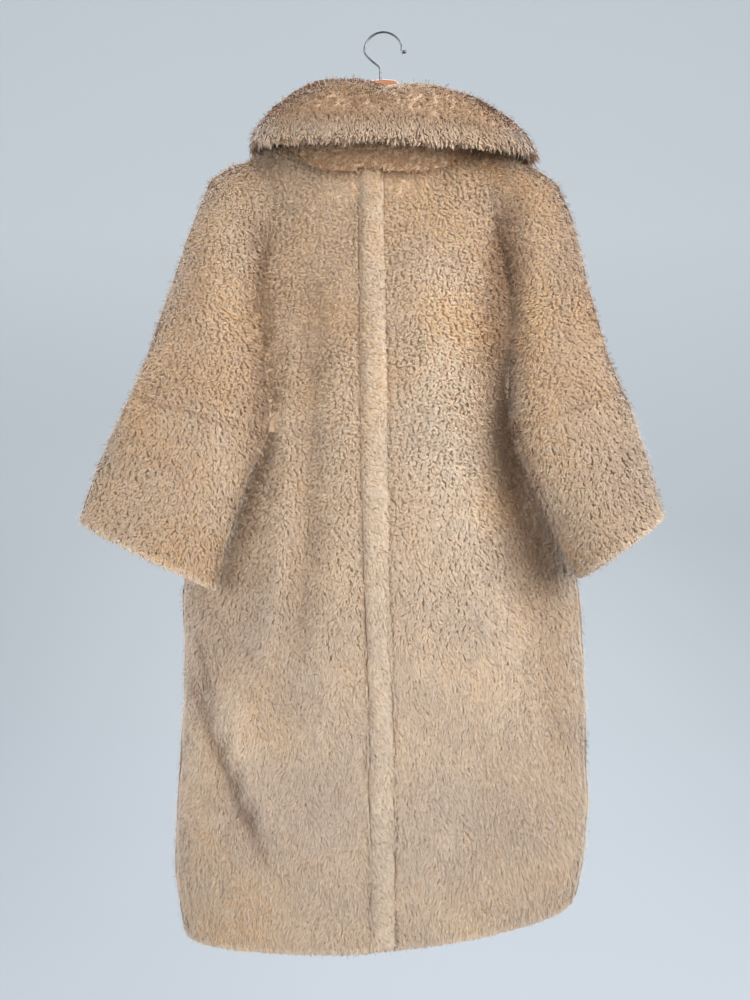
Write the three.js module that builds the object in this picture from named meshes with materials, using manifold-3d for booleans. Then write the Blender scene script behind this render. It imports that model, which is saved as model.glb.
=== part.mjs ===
import * as THREE from 'three';
import { mergeVertices } from 'three/addons/utils/BufferGeometryUtils.js';
import Module from 'manifold-3d';

const wasm = await Module();
wasm.setup();

// A long faux fur coat on a wooden hanger, in millimetres.
// +X is the wearer's right, -Y is the back of the coat and +Z is up.
// The origin is the inside top of the hook's loop, where it rests on a peg.

// Cloth and gaps
const wall = 12; // knitted backing with its pile
const seamGap = 0.3;
const touchGap = 0.35;
const shoulderDrop = 8; // how much lower the inside of the shoulders lies
const shoulderDepth = { from: 150, to: 260 }; // below the origin, where that fades out

// How far the cutting solids reach
const roomAbove = 0;
const roomBelow = -1300;
const roomAside = 500;
const roomDeep = 300;

// Body, one row for each level: side extents, back and front depth, y of the side folds
const bodySections = [
  { z: -112, left: -64, right: 64, back: -36, front: 34, side: 0, power: 2.1 },
  { z: -128, left: -96, right: 96, back: -42, front: 40, side: 0, power: 2.1 },
  { z: -142, left: -128, right: 128, back: -47, front: 45, side: 0, power: 2.1 },
  { z: -156, left: -160, right: 162, back: -51, front: 49, side: 0, power: 2.1 },
  { z: -172, left: -178, right: 182, back: -55, front: 53, side: 0, power: 2.15 },
  { z: -194, left: -184, right: 188, back: -60, front: 56, side: 0, power: 2.2 },
  { z: -240, left: -187, right: 190, back: -67, front: 61, side: 3, power: 2.25 },
  { z: -330, left: -200, right: 202, back: -75, front: 68, side: 16, power: 2.25 },
  { z: -430, left: -216, right: 216, back: -82, front: 76, side: 34, power: 2.2 },
  { z: -520, left: -233, right: 230, back: -88, front: 82, side: 42, power: 2.15 },
  { z: -620, left: -250, right: 244, back: -93, front: 88, side: 40, power: 2.15 },
  { z: -740, left: -266, right: 260, back: -98, front: 92, side: 30, power: 2.2 },
  { z: -800, left: -261, right: 263, back: -101, front: 93, side: 24, power: 2.25 },
  { z: -900, left: -264, right: 266, back: -104, front: 94, side: 17, power: 2.3 },
  { z: -1000, left: -270, right: 266, back: -103, front: 92, side: 12, power: 2.3 },
  { z: -1090, left: -272, right: 265, back: -98, front: 88, side: 9, power: 2.25 },
  { z: -1172, left: -261, right: 251, back: -88, front: 80, side: 8, power: 2.2 },
];
const hemLowest = -1172;
const hemBendsBelow = -900;
const hemLine = [
  { x: -280, z: -1163 },
  { x: -230, z: -1171 },
  { x: -75, z: -1172 },
  { x: 60, z: -1161 },
  { x: 141, z: -1149 },
  { x: 203, z: -1138 },
  { x: 244, z: -1126 },
  { x: 280, z: -1100 },
];

// Points round a ring and levels down a tube, outside and inside
const bodyMesh = { points: 56, levels: 24 };
const shoulderMesh = { levels: 6, end: -196 };
const liningMesh = { points: 40, levels: 15 };
const sleeveMesh = { points: 20, levels: 13 };
const sleeveLiningMesh = { points: 16, levels: 9 };

// Folds: a line through three points, spread to each side. Rise is out from the coat.
const backFolds = [
  { topX: -97, topZ: -300, midX: -94, midZ: -550, endX: -121, endZ: -815, spread: 20, rise: -8 },
  { topX: -120, topZ: -430, midX: -127, midZ: -640, endX: -150, endZ: -830, spread: 20, rise: 8 },
  { topX: -66, topZ: -380, midX: -60, midZ: -620, endX: -92, endZ: -960, spread: 30, rise: 5 },
  { topX: 166, topZ: -230, midX: 144, midZ: -480, endX: 214, endZ: -780, spread: 27, rise: -14 },
  { topX: 52, topZ: -250, midX: 92, midZ: -560, endX: 186, endZ: -930, spread: 34, rise: 9 },
  { topX: 210, topZ: -730, midX: 212, midZ: -840, endX: 236, endZ: -960, spread: 26, rise: -8 },
  { topX: 196, topZ: -560, midX: 190, midZ: -608, endX: 196, endZ: -655, spread: 22, rise: 12 },
  { topX: -246, topZ: -790, midX: -214, midZ: -915, endX: -150, endZ: -1060, spread: 16, rise: -9 },
  { topX: -212, topZ: -800, midX: -186, midZ: -910, endX: -122, endZ: -1050, spread: 26, rise: 7 },
  { topX: 96, topZ: -900, midX: 70, midZ: -1020, endX: 60, endZ: -1200, spread: 30, rise: 5 },
];
const frontFolds = [
  { topX: -104, topZ: -330, midX: -92, midZ: -600, endX: -130, endZ: -900, spread: 26, rise: -9 },
  { topX: -150, topZ: -470, midX: -146, midZ: -700, endX: -176, endZ: -1000, spread: 24, rise: 7 },
  { topX: 92, topZ: -340, midX: 106, midZ: -640, endX: 150, endZ: -940, spread: 28, rise: -10 },
  { topX: 148, topZ: -500, midX: 158, midZ: -720, endX: 190, endZ: -980, spread: 24, rise: 7 },
  { topX: -60, topZ: -840, midX: -74, midZ: -980, endX: -66, endZ: -1200, spread: 28, rise: -7 },
  { topX: 62, topZ: -800, midX: 56, midZ: -1000, endX: 76, endZ: -1200, spread: 30, rise: 6 },
];
const foldFade = 70;
const evenShare = 0.4; // how evenly a ring's points are spread over its width

// Sleeves, from the shoulder to the cuff: both edges as seen from behind, and the depth
const leftSleeve = [
  { outX: -150, outZ: -166, inX: -84, inZ: -214, y: 0, depth: 70 },
  { outX: -209, outZ: -179, inX: -116, inZ: -256, y: -4, depth: 98 },
  { outX: -238, outZ: -229, inX: -141, inZ: -296, y: -12, depth: 112 },
  { outX: -262, outZ: -304, inX: -150, inZ: -356, y: -23, depth: 116 },
  { outX: -284, outZ: -372, inX: -149, inZ: -422, y: -38, depth: 112 },
  { outX: -303, outZ: -436, inX: -141, inZ: -488, y: -62, depth: 98 },
  { outX: -322, outZ: -486, inX: -147, inZ: -538, y: -78, depth: 92 },
  { outX: -343, outZ: -534, inX: -170, inZ: -590, y: -83, depth: 90 },
  { outX: -363, outZ: -583, inX: -189, inZ: -652, y: -84, depth: 92 },
  { outX: -379, outZ: -633, inX: -206, inZ: -719, y: -84, depth: 96 },
];
const rightSleeve = [
  { outX: 152, outZ: -166, inX: 84, inZ: -214, y: 0, depth: 70 },
  { outX: 210, outZ: -185, inX: 122, inZ: -256, y: -4, depth: 100 },
  { outX: 238, outZ: -231, inX: 150, inZ: -294, y: -12, depth: 114 },
  { outX: 256, outZ: -302, inX: 162, inZ: -354, y: -22, depth: 118 },
  { outX: 269, outZ: -368, inX: 161, inZ: -418, y: -36, depth: 118 },
  { outX: 284, outZ: -432, inX: 155, inZ: -482, y: -62, depth: 112 },
  { outX: 302, outZ: -482, inX: 161, inZ: -532, y: -86, depth: 112 },
  { outX: 318, outZ: -532, inX: 180, inZ: -588, y: -92, depth: 114 },
  { outX: 333, outZ: -580, inX: 206, inZ: -642, y: -94, depth: 118 },
  { outX: 345, outZ: -624, inX: 237, inZ: -704, y: -94, depth: 124 },
];
const sleevePower = 2.2;
const elbowRow = 5.75; // the seam of the lower sleeve, counted in the rows above

// Seam between backs and fronts: its y at each level
const sideSeam = [
  { z: -100, y: 0 },
  { z: -220, y: -2 },
  { z: -310, y: -18 },
  { z: -400, y: -32 },
  { z: -480, y: -36 },
  { z: -545, y: -20 },
  { z: -610, y: 10 },
  { z: -680, y: 30 },
  { z: -800, y: 24 },
  { z: -900, y: 17 },
  { z: -1000, y: 12 },
  { z: -1240, y: 8 },
];

// Neck
const neckHalfWidth = 117;
const neckSideZ = -141;
const neckBackZ = -190;
const neckFrontZ = -276;
const neckBackPower = 4.5;
const neckFrontPower = 1.15;
const neckCutReach = 160; // to the back and to the front
const neckCutMiddle = -0.5;

// Strip down the middle of the back, let in between the two backs
const backStrip = [
  { z: -186, left: -33, right: -1 },
  { z: -400, left: -31, right: 3 },
  { z: -620, left: -28, right: 6 },
  { z: -775, left: -22, right: 9 },
  { z: -930, left: -19, right: 13 },
  { z: -1080, left: -18, right: 14 },
  { z: -1200, left: -15, right: 14 },
];
const stripMiddleX = -10;
const stripRise = 4;
const stripJoins = [-584, -990];
const stripCut = { from: -200, to: -20 }; // y of the slot that the strip lies in

// Collar, from the middle of the back to the front end: seam, roll and outer edge
const collarStations = [
  { seam: [0, -62, -193], roll: [0, -86, -92], edge: [0, -119, -166] },
  { seam: [58, -57, -191], roll: [62, -80, -93], edge: [74, -113, -166] },
  { seam: [98, -39, -174], roll: [108, -53, -107], edge: [136, -86, -160] },
  { seam: [116, -4, -145], roll: [131, -6, -120], edge: [165, -16, -148] },
  { seam: [104, 28, -156], roll: [121, 42, -130], edge: [156, 60, -176] },
  { seam: [70, 50, -205], roll: [92, 76, -178], edge: [138, 84, -238] },
  { seam: [34, 60, -244], roll: [56, 86, -224], edge: [108, 88, -296] },
  { seam: [5, 66, -276], roll: [18, 88, -268], edge: [52, 86, -330] },
];
const collarMiddleX = -8;
const collarRightReach = 27; // the right side lies further out over the shoulder
const collarRightDrop = 14;
const collarRollReach = 4;
const collarRollDrop = 9;
const collarStand = { share: 0.6, upright: 0.22 };
const collarFall = { share: 0.36, outward: 0.3 };
const collarEnd = 0.998; // the last ring stops just short of the front end
const collarThin = { from: 0.8, length: 0.24 }; // rounds off the free edge
const collarClear = 6.5; // between the collar's stand and the face of the body
const collarSteps = 15; // for each side
const collarFaceSteps = 7;

// Hanger
const hangerTop = [
  { x: 0, z: -61 },
  { x: 14, z: -62 },
  { x: 30, z: -74 },
  { x: 56, z: -102 },
  { x: 86, z: -132 },
  { x: 118, z: -152 },
  { x: 152, z: -165 },
  { x: 184, z: -184 },
  { x: 200, z: -204 },
];
const hangerBottom = [
  { x: 0, z: -106 },
  { x: 40, z: -124 },
  { x: 86, z: -162 },
  { x: 130, z: -186 },
  { x: 170, z: -205 },
  { x: 192, z: -220 },
];
const hangerThick = 13;
const hangerRound = 3;
const wireRadius = 1.5;
const hookRadius = 24.5;
const hookStemX = -4;
const hookStemTop = -45;
const hookStemBottom = -84;
const hookBallRadius = 2.6;
const boreTop = -49; // the stem's hole runs out above the wood

// Smooth curve through a table's rows, read at one value of its key column
function slopeAt(rows, key, column, i) {
  const before = rows[Math.max(i - 1, 0)];
  const after = rows[Math.min(i + 1, rows.length - 1)];
  return (after[column] - before[column]) / (after[key] - before[key]);
}

function valueAt(rows, key, column, at) {
  const falling = rows[0][key] > rows[1][key];
  let i = 0;
  while (i < rows.length - 2 && (falling ? at < rows[i + 1][key] : at > rows[i + 1][key])) {
    i += 1;
  }
  const a = rows[i];
  const b = rows[i + 1];
  const length = b[key] - a[key];
  const t = THREE.MathUtils.clamp((at - a[key]) / length, 0, 1);
  const s = t * t * (3 - 2 * t);
  const leave = t * (1 - t) * (1 - t) * length * slopeAt(rows, key, column, i);
  const arrive = t * t * (1 - t) * length * slopeAt(rows, key, column, i + 1);
  return a[column] * (1 - s) + b[column] * s + leave - arrive;
}

function signedPower(value, power) {
  return Math.sign(value) * Math.abs(value) ** power;
}

// Parabola through the three points of a fold, faded at both ends
function foldHeight(folds, x, z) {
  let height = 0;
  for (const fold of folds) {
    if (z < fold.topZ && z > fold.endZ) {
      const a = (z - fold.midZ) * (z - fold.endZ) / ((fold.topZ - fold.midZ) * (fold.topZ - fold.endZ));
      const b = (z - fold.topZ) * (z - fold.endZ) / ((fold.midZ - fold.topZ) * (fold.midZ - fold.endZ));
      const c = (z - fold.topZ) * (z - fold.midZ) / ((fold.endZ - fold.topZ) * (fold.endZ - fold.midZ));
      const line = a * fold.topX + b * fold.midX + c * fold.endX;
      const reach = Math.min(fold.topZ - z, z - fold.endZ) / foldFade;
      const fade = THREE.MathUtils.smoothstep(reach, 0, 1);
      height += fold.rise * fade * Math.exp(-(((x - line) / fold.spread) ** 2));
    }
  }
  return height;
}

// Body: y of the back or front surface, and one ring of points at a level
function bodyDepth(x, z, inset, front) {
  const row = (column) => valueAt(bodySections, 'z', column, z);
  const left = row('left') + inset;
  const right = row('right') - inset;
  const away = Math.min(Math.abs(x - (left + right) / 2) / ((right - left) / 2), 1);
  const bow = (1 - away ** row('power')) ** (1 / row('power'));
  if (front) {
    return row('side') + (row('front') - inset - row('side')) * bow + foldHeight(frontFolds, x, z) * bow;
  }
  return row('side') + (row('back') + inset - row('side')) * bow - foldHeight(backFolds, x, z) * bow;
}

function hemDrop(x, z) {
  if (z > hemBendsBelow) {
    return z;
  }
  const share = (z - hemBendsBelow) / (hemLowest - hemBendsBelow);
  return hemBendsBelow + share * (valueAt(hemLine, 'x', 'z', x) - hemBendsBelow);
}

function bodyRing(z, inset, points) {
  const row = (column) => valueAt(bodySections, 'z', column, z);
  const left = row('left') + inset;
  const right = row('right') - inset;
  const fade = 1 - THREE.MathUtils.smoothstep(-z, shoulderDepth.from, shoulderDepth.to);
  const drop = inset > 0 ? shoulderDrop * fade : 0;
  const ring = [];
  for (let k = 0; k < points; k += 1) {
    const angle = (2 * Math.PI * k) / points;
    const even = 2 * Math.abs((2 * k) / points - 1) - 1;
    const spread = THREE.MathUtils.lerp(Math.cos(angle), even, evenShare);
    const x = (left + right) / 2 + ((right - left) / 2) * spread;
    const y = bodyDepth(x, z, inset, Math.sin(angle) > 0);
    ring.push(new THREE.Vector3(x, y, hemDrop(x, z) - drop));
  }
  return ring;
}

// Rings joined into one closed solid, with a flat end at each side.
// The other diagonals make a reversed solid fit the face of one that isn't.
function solidOfRings(rings, otherDiagonals = false) {
  const count = rings[0].length;
  const positions = rings.flat().flatMap((point) => [point.x, point.y, point.z]);
  const index = [];
  for (let r = 0; r < rings.length - 1; r += 1) {
    for (let k = 0; k < count; k += 1) {
      const next = (k + 1) % count;
      const a = r * count + k;
      const b = r * count + next;
      if (otherDiagonals) {
        index.push(a, a + count, b + count, a, b + count, b);
      } else {
        index.push(a, a + count, b, b, a + count, b + count);
      }
    }
  }
  for (const [r, turned] of [[0, false], [rings.length - 1, true]]) {
    const middle = rings[r].reduce((sum, point) => sum.add(point), new THREE.Vector3());
    middle.divideScalar(count);
    const centre = positions.length / 3;
    positions.push(middle.x, middle.y, middle.z);
    for (let k = 0; k < count; k += 1) {
      const a = r * count + k;
      const b = r * count + ((k + 1) % count);
      index.push(...(turned ? [centre, b, a] : [centre, a, b]));
    }
  }
  return solidFrom(positions, index);
}

function solidFrom(positions, index) {
  const mesh = new wasm.Mesh({
    numProp: 3,
    vertProperties: new Float32Array(positions),
    triVerts: new Uint32Array(index),
  });
  return new wasm.Manifold(mesh);
}

function solidOfGeometry(geometry) {
  geometry.deleteAttribute('normal');
  geometry.deleteAttribute('uv');
  const merged = mergeVertices(geometry, 1e-4);
  return solidFrom(merged.attributes.position.array, merged.index.array);
}

function bodyTube(inset, points, levels) {
  const rings = [];
  const top = bodySections[0].z;
  for (let i = 0; i < shoulderMesh.levels; i += 1) {
    rings.push(bodyRing(top + ((shoulderMesh.end - top) * i) / shoulderMesh.levels, inset, points));
  }
  for (let i = 0; i <= levels; i += 1) {
    rings.push(bodyRing(shoulderMesh.end + ((hemLowest - shoulderMesh.end) * i) / levels, inset, points));
  }
  if (inset > 0) {
    const below = bodyRing(hemLowest, inset, points);
    below.forEach((point) => { point.z -= wall; });
    rings.push(below);
  }
  return solidOfRings(rings);
}

// Sleeve: one ring at a place between the rows of its table
function sleeveRing(rows, place, inset, points) {
  const numbered = rows.map((row, i) => ({ ...row, i }));
  const row = (column) => valueAt(numbered, 'i', column, place);
  const outer = new THREE.Vector3(row('outX'), row('y'), row('outZ'));
  const inner = new THREE.Vector3(row('inX'), row('y'), row('inZ'));
  const middle = outer.clone().lerp(inner, 0.5);
  const half = outer.distanceTo(inner) / 2 - inset;
  const across = outer.clone().sub(middle).normalize();
  const depth = row('depth') / 2 - inset;
  const ring = [];
  for (let k = 0; k < points; k += 1) {
    const angle = (2 * Math.PI * k) / points;
    const point = middle.clone().addScaledVector(across, half * signedPower(Math.cos(angle), 2 / sleevePower));
    point.y += depth * signedPower(Math.sin(angle), 2 / sleevePower);
    ring.push(point);
  }
  return ring;
}

function sleeveAxis(rows) {
  const a = rows[rows.length - 2];
  const b = rows[rows.length - 1];
  const x = (b.outX + b.inX - a.outX - a.inX) / 2;
  const z = (b.outZ + b.inZ - a.outZ - a.inZ) / 2;
  return new THREE.Vector3(x, 0, z).normalize();
}

function sleeveTube(rows, inset, { points, levels }) {
  const last = rows.length - 1;
  const rings = [];
  for (let i = 0; i <= levels; i += 1) {
    rings.push(sleeveRing(rows, (last * i) / levels, inset, points));
  }
  if (inset !== 0) {
    const past = sleeveRing(rows, last, inset, points);
    past.forEach((point) => point.addScaledVector(sleeveAxis(rows), wall));
    rings.push(past);
  }
  return solidOfRings(rows[0].outX < 0 ? rings.reverse() : rings);
}

// Everything below a sleeve's elbow seam, as a thick slab that follows the seam's plane
function belowElbow(rows, shift) {
  const [outer, , inner] = sleeveRing(rows, elbowRow, 0, 4);
  const across = inner.clone().sub(outer).setY(0).normalize();
  const down = new THREE.Vector3(-across.z, 0, across.x);
  if (down.z > 0) {
    down.negate();
  }
  const size = 400;
  const box = new THREE.BoxGeometry(size, size, size);
  const middle = outer.clone().lerp(inner, 0.5).addScaledVector(down, size / 2 + shift);
  const turn = new THREE.Matrix4().makeBasis(across, down.clone().cross(across), down);
  box.applyMatrix4(turn.setPosition(middle));
  return solidOfGeometry(box);
}

// A flat outline in two of the axes, made thick along the third
function prism(outline, from, to, axis) {
  const shape = new THREE.Shape(outline.map(([a, b]) => new THREE.Vector2(a, b)));
  const geometry = new THREE.ExtrudeGeometry(shape, { depth: to - from, bevelEnabled: false, curveSegments: 1 });
  const ahead = new THREE.Matrix4();
  if (axis === 'y') {
    ahead.set(1, 0, 0, 0, 0, 0, -1, to, 0, 1, 0, 0, 0, 0, 0, 1);
  } else {
    ahead.set(0, 0, 1, from, 1, 0, 0, 0, 0, 1, 0, 0, 0, 0, 0, 1);
  }
  geometry.applyMatrix4(ahead);
  return solidOfGeometry(geometry);
}

function neckCut(lift) {
  const steps = 20;
  const halves = [
    [neckBackZ, neckBackPower, -neckCutReach, 0],
    [neckFrontZ, neckFrontPower, neckCutMiddle, neckCutReach],
  ];
  const solids = halves.map(([middleZ, power, from, to]) => {
    const outline = [[neckHalfWidth - lift, roomAbove], [-neckHalfWidth + lift, roomAbove]];
    for (let i = 0; i <= steps; i += 1) {
      const share = (2 * i) / steps - 1;
      const rise = (neckSideZ - middleZ) * Math.abs(share) ** power;
      outline.push([share * (neckHalfWidth - lift), middleZ + rise + lift]);
    }
    return prism(outline, from, to, 'y');
  });
  return solids[0].add(solids[1]);
}

// Hanger: its outline seen from behind, rounded along the edges
function hangerOutline() {
  const steps = 14;
  const outline = [];
  const topEnd = hangerTop[hangerTop.length - 1].x;
  const bottomEnd = hangerBottom[hangerBottom.length - 1].x;
  for (let i = -steps; i <= steps; i += 1) {
    const x = (topEnd * i) / steps;
    outline.push([x, valueAt(hangerTop, 'x', 'z', Math.abs(x))]);
  }
  for (let i = steps; i >= -steps; i -= 2) {
    const x = (bottomEnd * i) / steps;
    outline.push([x, valueAt(hangerBottom, 'x', 'z', Math.abs(x))]);
  }
  return outline;
}

function hangerWood(grow) {
  const shape = new THREE.Shape(hangerOutline().map(([x, z]) => new THREE.Vector2(x, z)));
  const depth = hangerThick - 2 * hangerRound + 2 * grow;
  const geometry = new THREE.ExtrudeGeometry(shape, {
    depth,
    bevelEnabled: true,
    bevelThickness: hangerRound,
    bevelSize: hangerRound,
    bevelOffset: grow - hangerRound,
    bevelSegments: 2,
    curveSegments: 1,
  });
  geometry.translate(0, 0, -depth / 2);
  geometry.rotateX(Math.PI / 2);
  return solidOfGeometry(geometry);
}

function hangerHook() {
  const loopZ = -hookRadius + wireRadius;
  const around = (degrees) => new THREE.Vector3(
    hookRadius * Math.cos((degrees * Math.PI) / 180),
    0,
    loopZ + hookRadius * Math.sin((degrees * Math.PI) / 180),
  );
  const points = [
    new THREE.Vector3(hookStemX, 0, hookStemBottom),
    new THREE.Vector3(hookStemX, 0, -70),
    new THREE.Vector3(hookStemX, 0, -58),
    new THREE.Vector3(hookStemX - 1, 0, hookStemTop),
    new THREE.Vector3(hookStemX - 11, 0, hookStemTop + 9),
    ...[185, 160, 135, 110, 85, 60, 35, 12].map(around),
    new THREE.Vector3(hookRadius - 1, 0, loopZ - 3),
    new THREE.Vector3(hookRadius + 3, 0, loopZ - 1),
  ];
  const path = new THREE.CatmullRomCurve3(points, false, 'centripetal');
  const section = new THREE.Shape();
  section.absarc(0, 0, wireRadius, 0, 2 * Math.PI, false);
  const wire = new THREE.ExtrudeGeometry(section, { steps: 40, curveSegments: 4, extrudePath: path });
  const ball = new THREE.SphereGeometry(hookBallRadius, 10, 8);
  const tip = points[points.length - 1];
  ball.translate(tip.x, tip.y, tip.z);
  return solidOfGeometry(wire).add(solidOfGeometry(ball));
}

function hangerBore() {
  const depth = boreTop - hookStemBottom;
  const bore = new THREE.CylinderGeometry(wireRadius + touchGap, wireRadius + touchGap, depth, 12);
  bore.rotateX(Math.PI / 2);
  bore.translate(hookStemX, 0, hookStemBottom - touchGap + depth / 2);
  return solidOfGeometry(bore);
}

// Coat body with both sleeves, hollow and open at neck, cuffs and hem
function coatBody(grow, lift = grow) {
  const outside = bodyTube(-grow, bodyMesh.points, bodyMesh.levels)
    .add(sleeveTube(leftSleeve, -grow, sleeveMesh))
    .add(sleeveTube(rightSleeve, -grow, sleeveMesh));
  const inside = bodyTube(wall + grow, liningMesh.points, liningMesh.levels)
    .add(sleeveTube(leftSleeve, wall + grow, sleeveLiningMesh))
    .add(sleeveTube(rightSleeve, wall + grow, sleeveLiningMesh));
  return outside.subtract(inside).subtract(neckCut(lift));
}

// Everything behind the side seam, or everything in front of it
function seamSide(front) {
  const steps = 40;
  const outline = [];
  for (let i = 0; i <= steps; i += 1) {
    const z = roomAbove + ((roomBelow - roomAbove) * i) / steps;
    outline.push([valueAt(sideSeam, 'z', 'y', z) + (front ? seamGap / 2 : -seamGap / 2), z]);
  }
  const far = front ? roomDeep : -roomDeep;
  outline.push([far, roomBelow], [far, roomAbove]);
  return prism(outline, -roomAside, roomAside, 'x');
}

function boxBetween(low, high) {
  const size = new THREE.Vector3().subVectors(high, low);
  const box = new THREE.BoxGeometry(size.x, size.y, size.z);
  const middle = low.clone().lerp(high, 0.5);
  box.translate(middle.x, middle.y, middle.z);
  return solidOfGeometry(box);
}

function sideOf(left, gap) {
  const low = new THREE.Vector3(left ? -roomAside : gap, -roomDeep, roomBelow);
  const high = new THREE.Vector3(left ? -gap : roomAside, roomDeep, roomAbove);
  return boxBetween(low, high);
}

// Gap for the strip between the backs, and the strip itself in lengths
function stripOutline(grow) {
  const steps = 40;
  const down = [];
  const up = [];
  for (let i = 0; i <= steps; i += 1) {
    const z = neckBackZ + ((roomBelow - neckBackZ) * i) / steps;
    down.push([valueAt(backStrip, 'z', 'left', z) - grow, z]);
    up.unshift([valueAt(backStrip, 'z', 'right', z) + grow, z]);
  }
  const [topLeft] = down[0];
  const [topRight] = up[steps];
  return [[topRight, roomAbove], [topLeft, roomAbove], ...down, ...up];
}

function stripLength(from, to) {
  const steps = Math.max(Math.round((from - to) / 30), 3);
  const across = [0, 0.12, 0.32, 0.5, 0.68, 0.88, 1];
  const rings = [];
  for (let i = 0; i <= steps; i += 1) {
    const level = from + ((to - from) * i) / steps;
    const left = valueAt(backStrip, 'z', 'left', level);
    const right = valueAt(backStrip, 'z', 'right', level);
    const outer = across.map((share) => {
      const x = left + (right - left) * share;
      const rise = stripRise * (1 - (2 * share - 1) ** 4);
      return new THREE.Vector3(x, bodyDepth(x, level, 0, false) - rise, hemDrop(x, level));
    });
    const inner = [1, 0.5, 0].map((share) => {
      const x = left + (right - left) * share;
      return new THREE.Vector3(x, bodyDepth(x, level, wall, false), hemDrop(x, level));
    });
    rings.push([...outer, ...inner]);
  }
  return solidOfRings(rings);
}

// Collar: the seam between its two layers, as a grid of points
function collarPoint(along, across) {
  const side = Math.sign(along) || 1;
  const place = Math.abs(along) * (collarStations.length - 1);
  const part = (name) => {
    const rows = collarStations.map((row, i) => ({ i, x: row[name][0], y: row[name][1], z: row[name][2] }));
    const [x, y, z] = ['x', 'y', 'z'].map((column) => valueAt(rows, 'i', column, place));
    return new THREE.Vector3(x * side, y, z);
  };
  const seam = part('seam');
  const roll = part('roll');
  const edge = part('edge');
  const aside = Math.min(place / 3, 1) * (side > 0 ? 1 : 0);
  const fade = 1 - THREE.MathUtils.smoothstep(place, 3, 6);
  edge.x += collarRightReach * aside * Math.max(fade, 0.2);
  edge.z -= collarRightDrop * aside * fade;
  roll.x += collarRollReach * aside * fade;
  roll.z -= collarRollDrop * aside * fade;
  const middle = collarMiddleX * (1 - THREE.MathUtils.smoothstep(place, 0, 3));
  const stand = seam.clone().lerp(roll, collarStand.share);
  stand.lerp(new THREE.Vector3(seam.x, seam.y, roll.z), collarStand.upright);
  const fall = roll.clone().lerp(edge, collarFall.share);
  fall.lerp(new THREE.Vector3(edge.x, edge.y, roll.z), collarFall.outward);
  const path = new THREE.CatmullRomCurve3([seam, stand, roll, fall, edge], false, 'centripetal');
  return path.getPoint(across).add(new THREE.Vector3(middle, 0, 0));
}

function collarNormal(along, across) {
  const step = 0.004;
  const before = collarPoint(along - step, across);
  const after = collarPoint(along + step, across);
  const low = collarPoint(along, Math.max(across - step, 0));
  const high = collarPoint(along, Math.min(across + step, 1));
  return high.sub(low).cross(after.sub(before)).normalize();
}

function collarLayer(onTop) {
  const rings = [];
  for (let i = -collarSteps; i <= collarSteps; i += 1) {
    const along = (collarEnd * i) / collarSteps;
    const near = [];
    const far = [];
    for (let k = 0; k <= collarFaceSteps; k += 1) {
      const across = k / collarFaceSteps;
      const point = collarPoint(along, across);
      const out = collarNormal(along, across).multiplyScalar(onTop ? 1 : -1);
      const late = Math.max(across - collarThin.from, 0) / collarThin.length;
      const thin = Math.sqrt(1 - late ** 2);
      near.push(point.clone().addScaledVector(out, seamGap / 2));
      far.push(point.clone().addScaledVector(out, seamGap / 2 + wall * thin));
    }
    rings.push([...near, ...far.reverse()]);
  }
  return solidOfRings(onTop ? rings : rings.reverse(), !onTop);
}

// Materials
const fur = new THREE.MeshStandardMaterial({ color: 0xcdb08c, roughness: 0.95, metalness: 0 });
const wood = new THREE.MeshStandardMaterial({ color: 0xb9784a, roughness: 0.5, metalness: 0 });
const steel = new THREE.MeshStandardMaterial({ color: 0x9a9a98, roughness: 0.3, metalness: 1 });

const coat = new THREE.Group();

function addPiece(name, solid, material) {
  const { vertProperties, triVerts } = solid.getMesh();
  const geometry = new THREE.BufferGeometry();
  geometry.setAttribute('position', new THREE.BufferAttribute(new Float32Array(vertProperties), 3));
  geometry.setIndex(new THREE.BufferAttribute(new Uint32Array(triVerts), 1));
  geometry.computeVertexNormals();
  const mesh = new THREE.Mesh(geometry, material);
  mesh.name = name;
  coat.add(mesh);
}

// The body, less the room for the hanger, cut at the elbows, side seams and centre lines
const body = coatBody(0).subtract(hangerWood(touchGap));
const elbows = [leftSleeve, rightSleeve].map((rows) => (
  sleeveTube(rows, -1, sleeveMesh).intersect(belowElbow(rows, -seamGap))
));
const upper = body.subtract(elbows[0]).subtract(elbows[1]);
const stripRoom = prism(stripOutline(seamGap), stripCut.from, stripCut.to, 'y');
const backs = upper.intersect(seamSide(false)).subtract(stripRoom);
const fronts = upper.intersect(seamSide(true));
addPiece('back_left', backs.intersect(sideOf(true, -stripMiddleX)), fur);
addPiece('back_right', backs.intersect(sideOf(false, stripMiddleX)), fur);
addPiece('front_left', fronts.intersect(sideOf(true, seamGap / 2)), fur);
addPiece('front_right', fronts.intersect(sideOf(false, seamGap / 2)), fur);

const sleeves = [['left', leftSleeve], ['right', rightSleeve]];
for (const [name, rows] of sleeves) {
  const tube = sleeveTube(rows, 0, sleeveMesh).subtract(sleeveTube(rows, wall, sleeveLiningMesh));
  addPiece(`lower_sleeve_${name}`, tube.intersect(belowElbow(rows, 0)), fur);
}

const stripEnds = [neckBackZ - touchGap, ...stripJoins, hemLowest];
['upper', 'middle', 'lower'].forEach((name, i) => {
  const gap = i === 0 ? 0 : seamGap;
  addPiece(`back_strip_${name}`, stripLength(stripEnds[i] - gap, stripEnds[i + 1]), fur);
});

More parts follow.
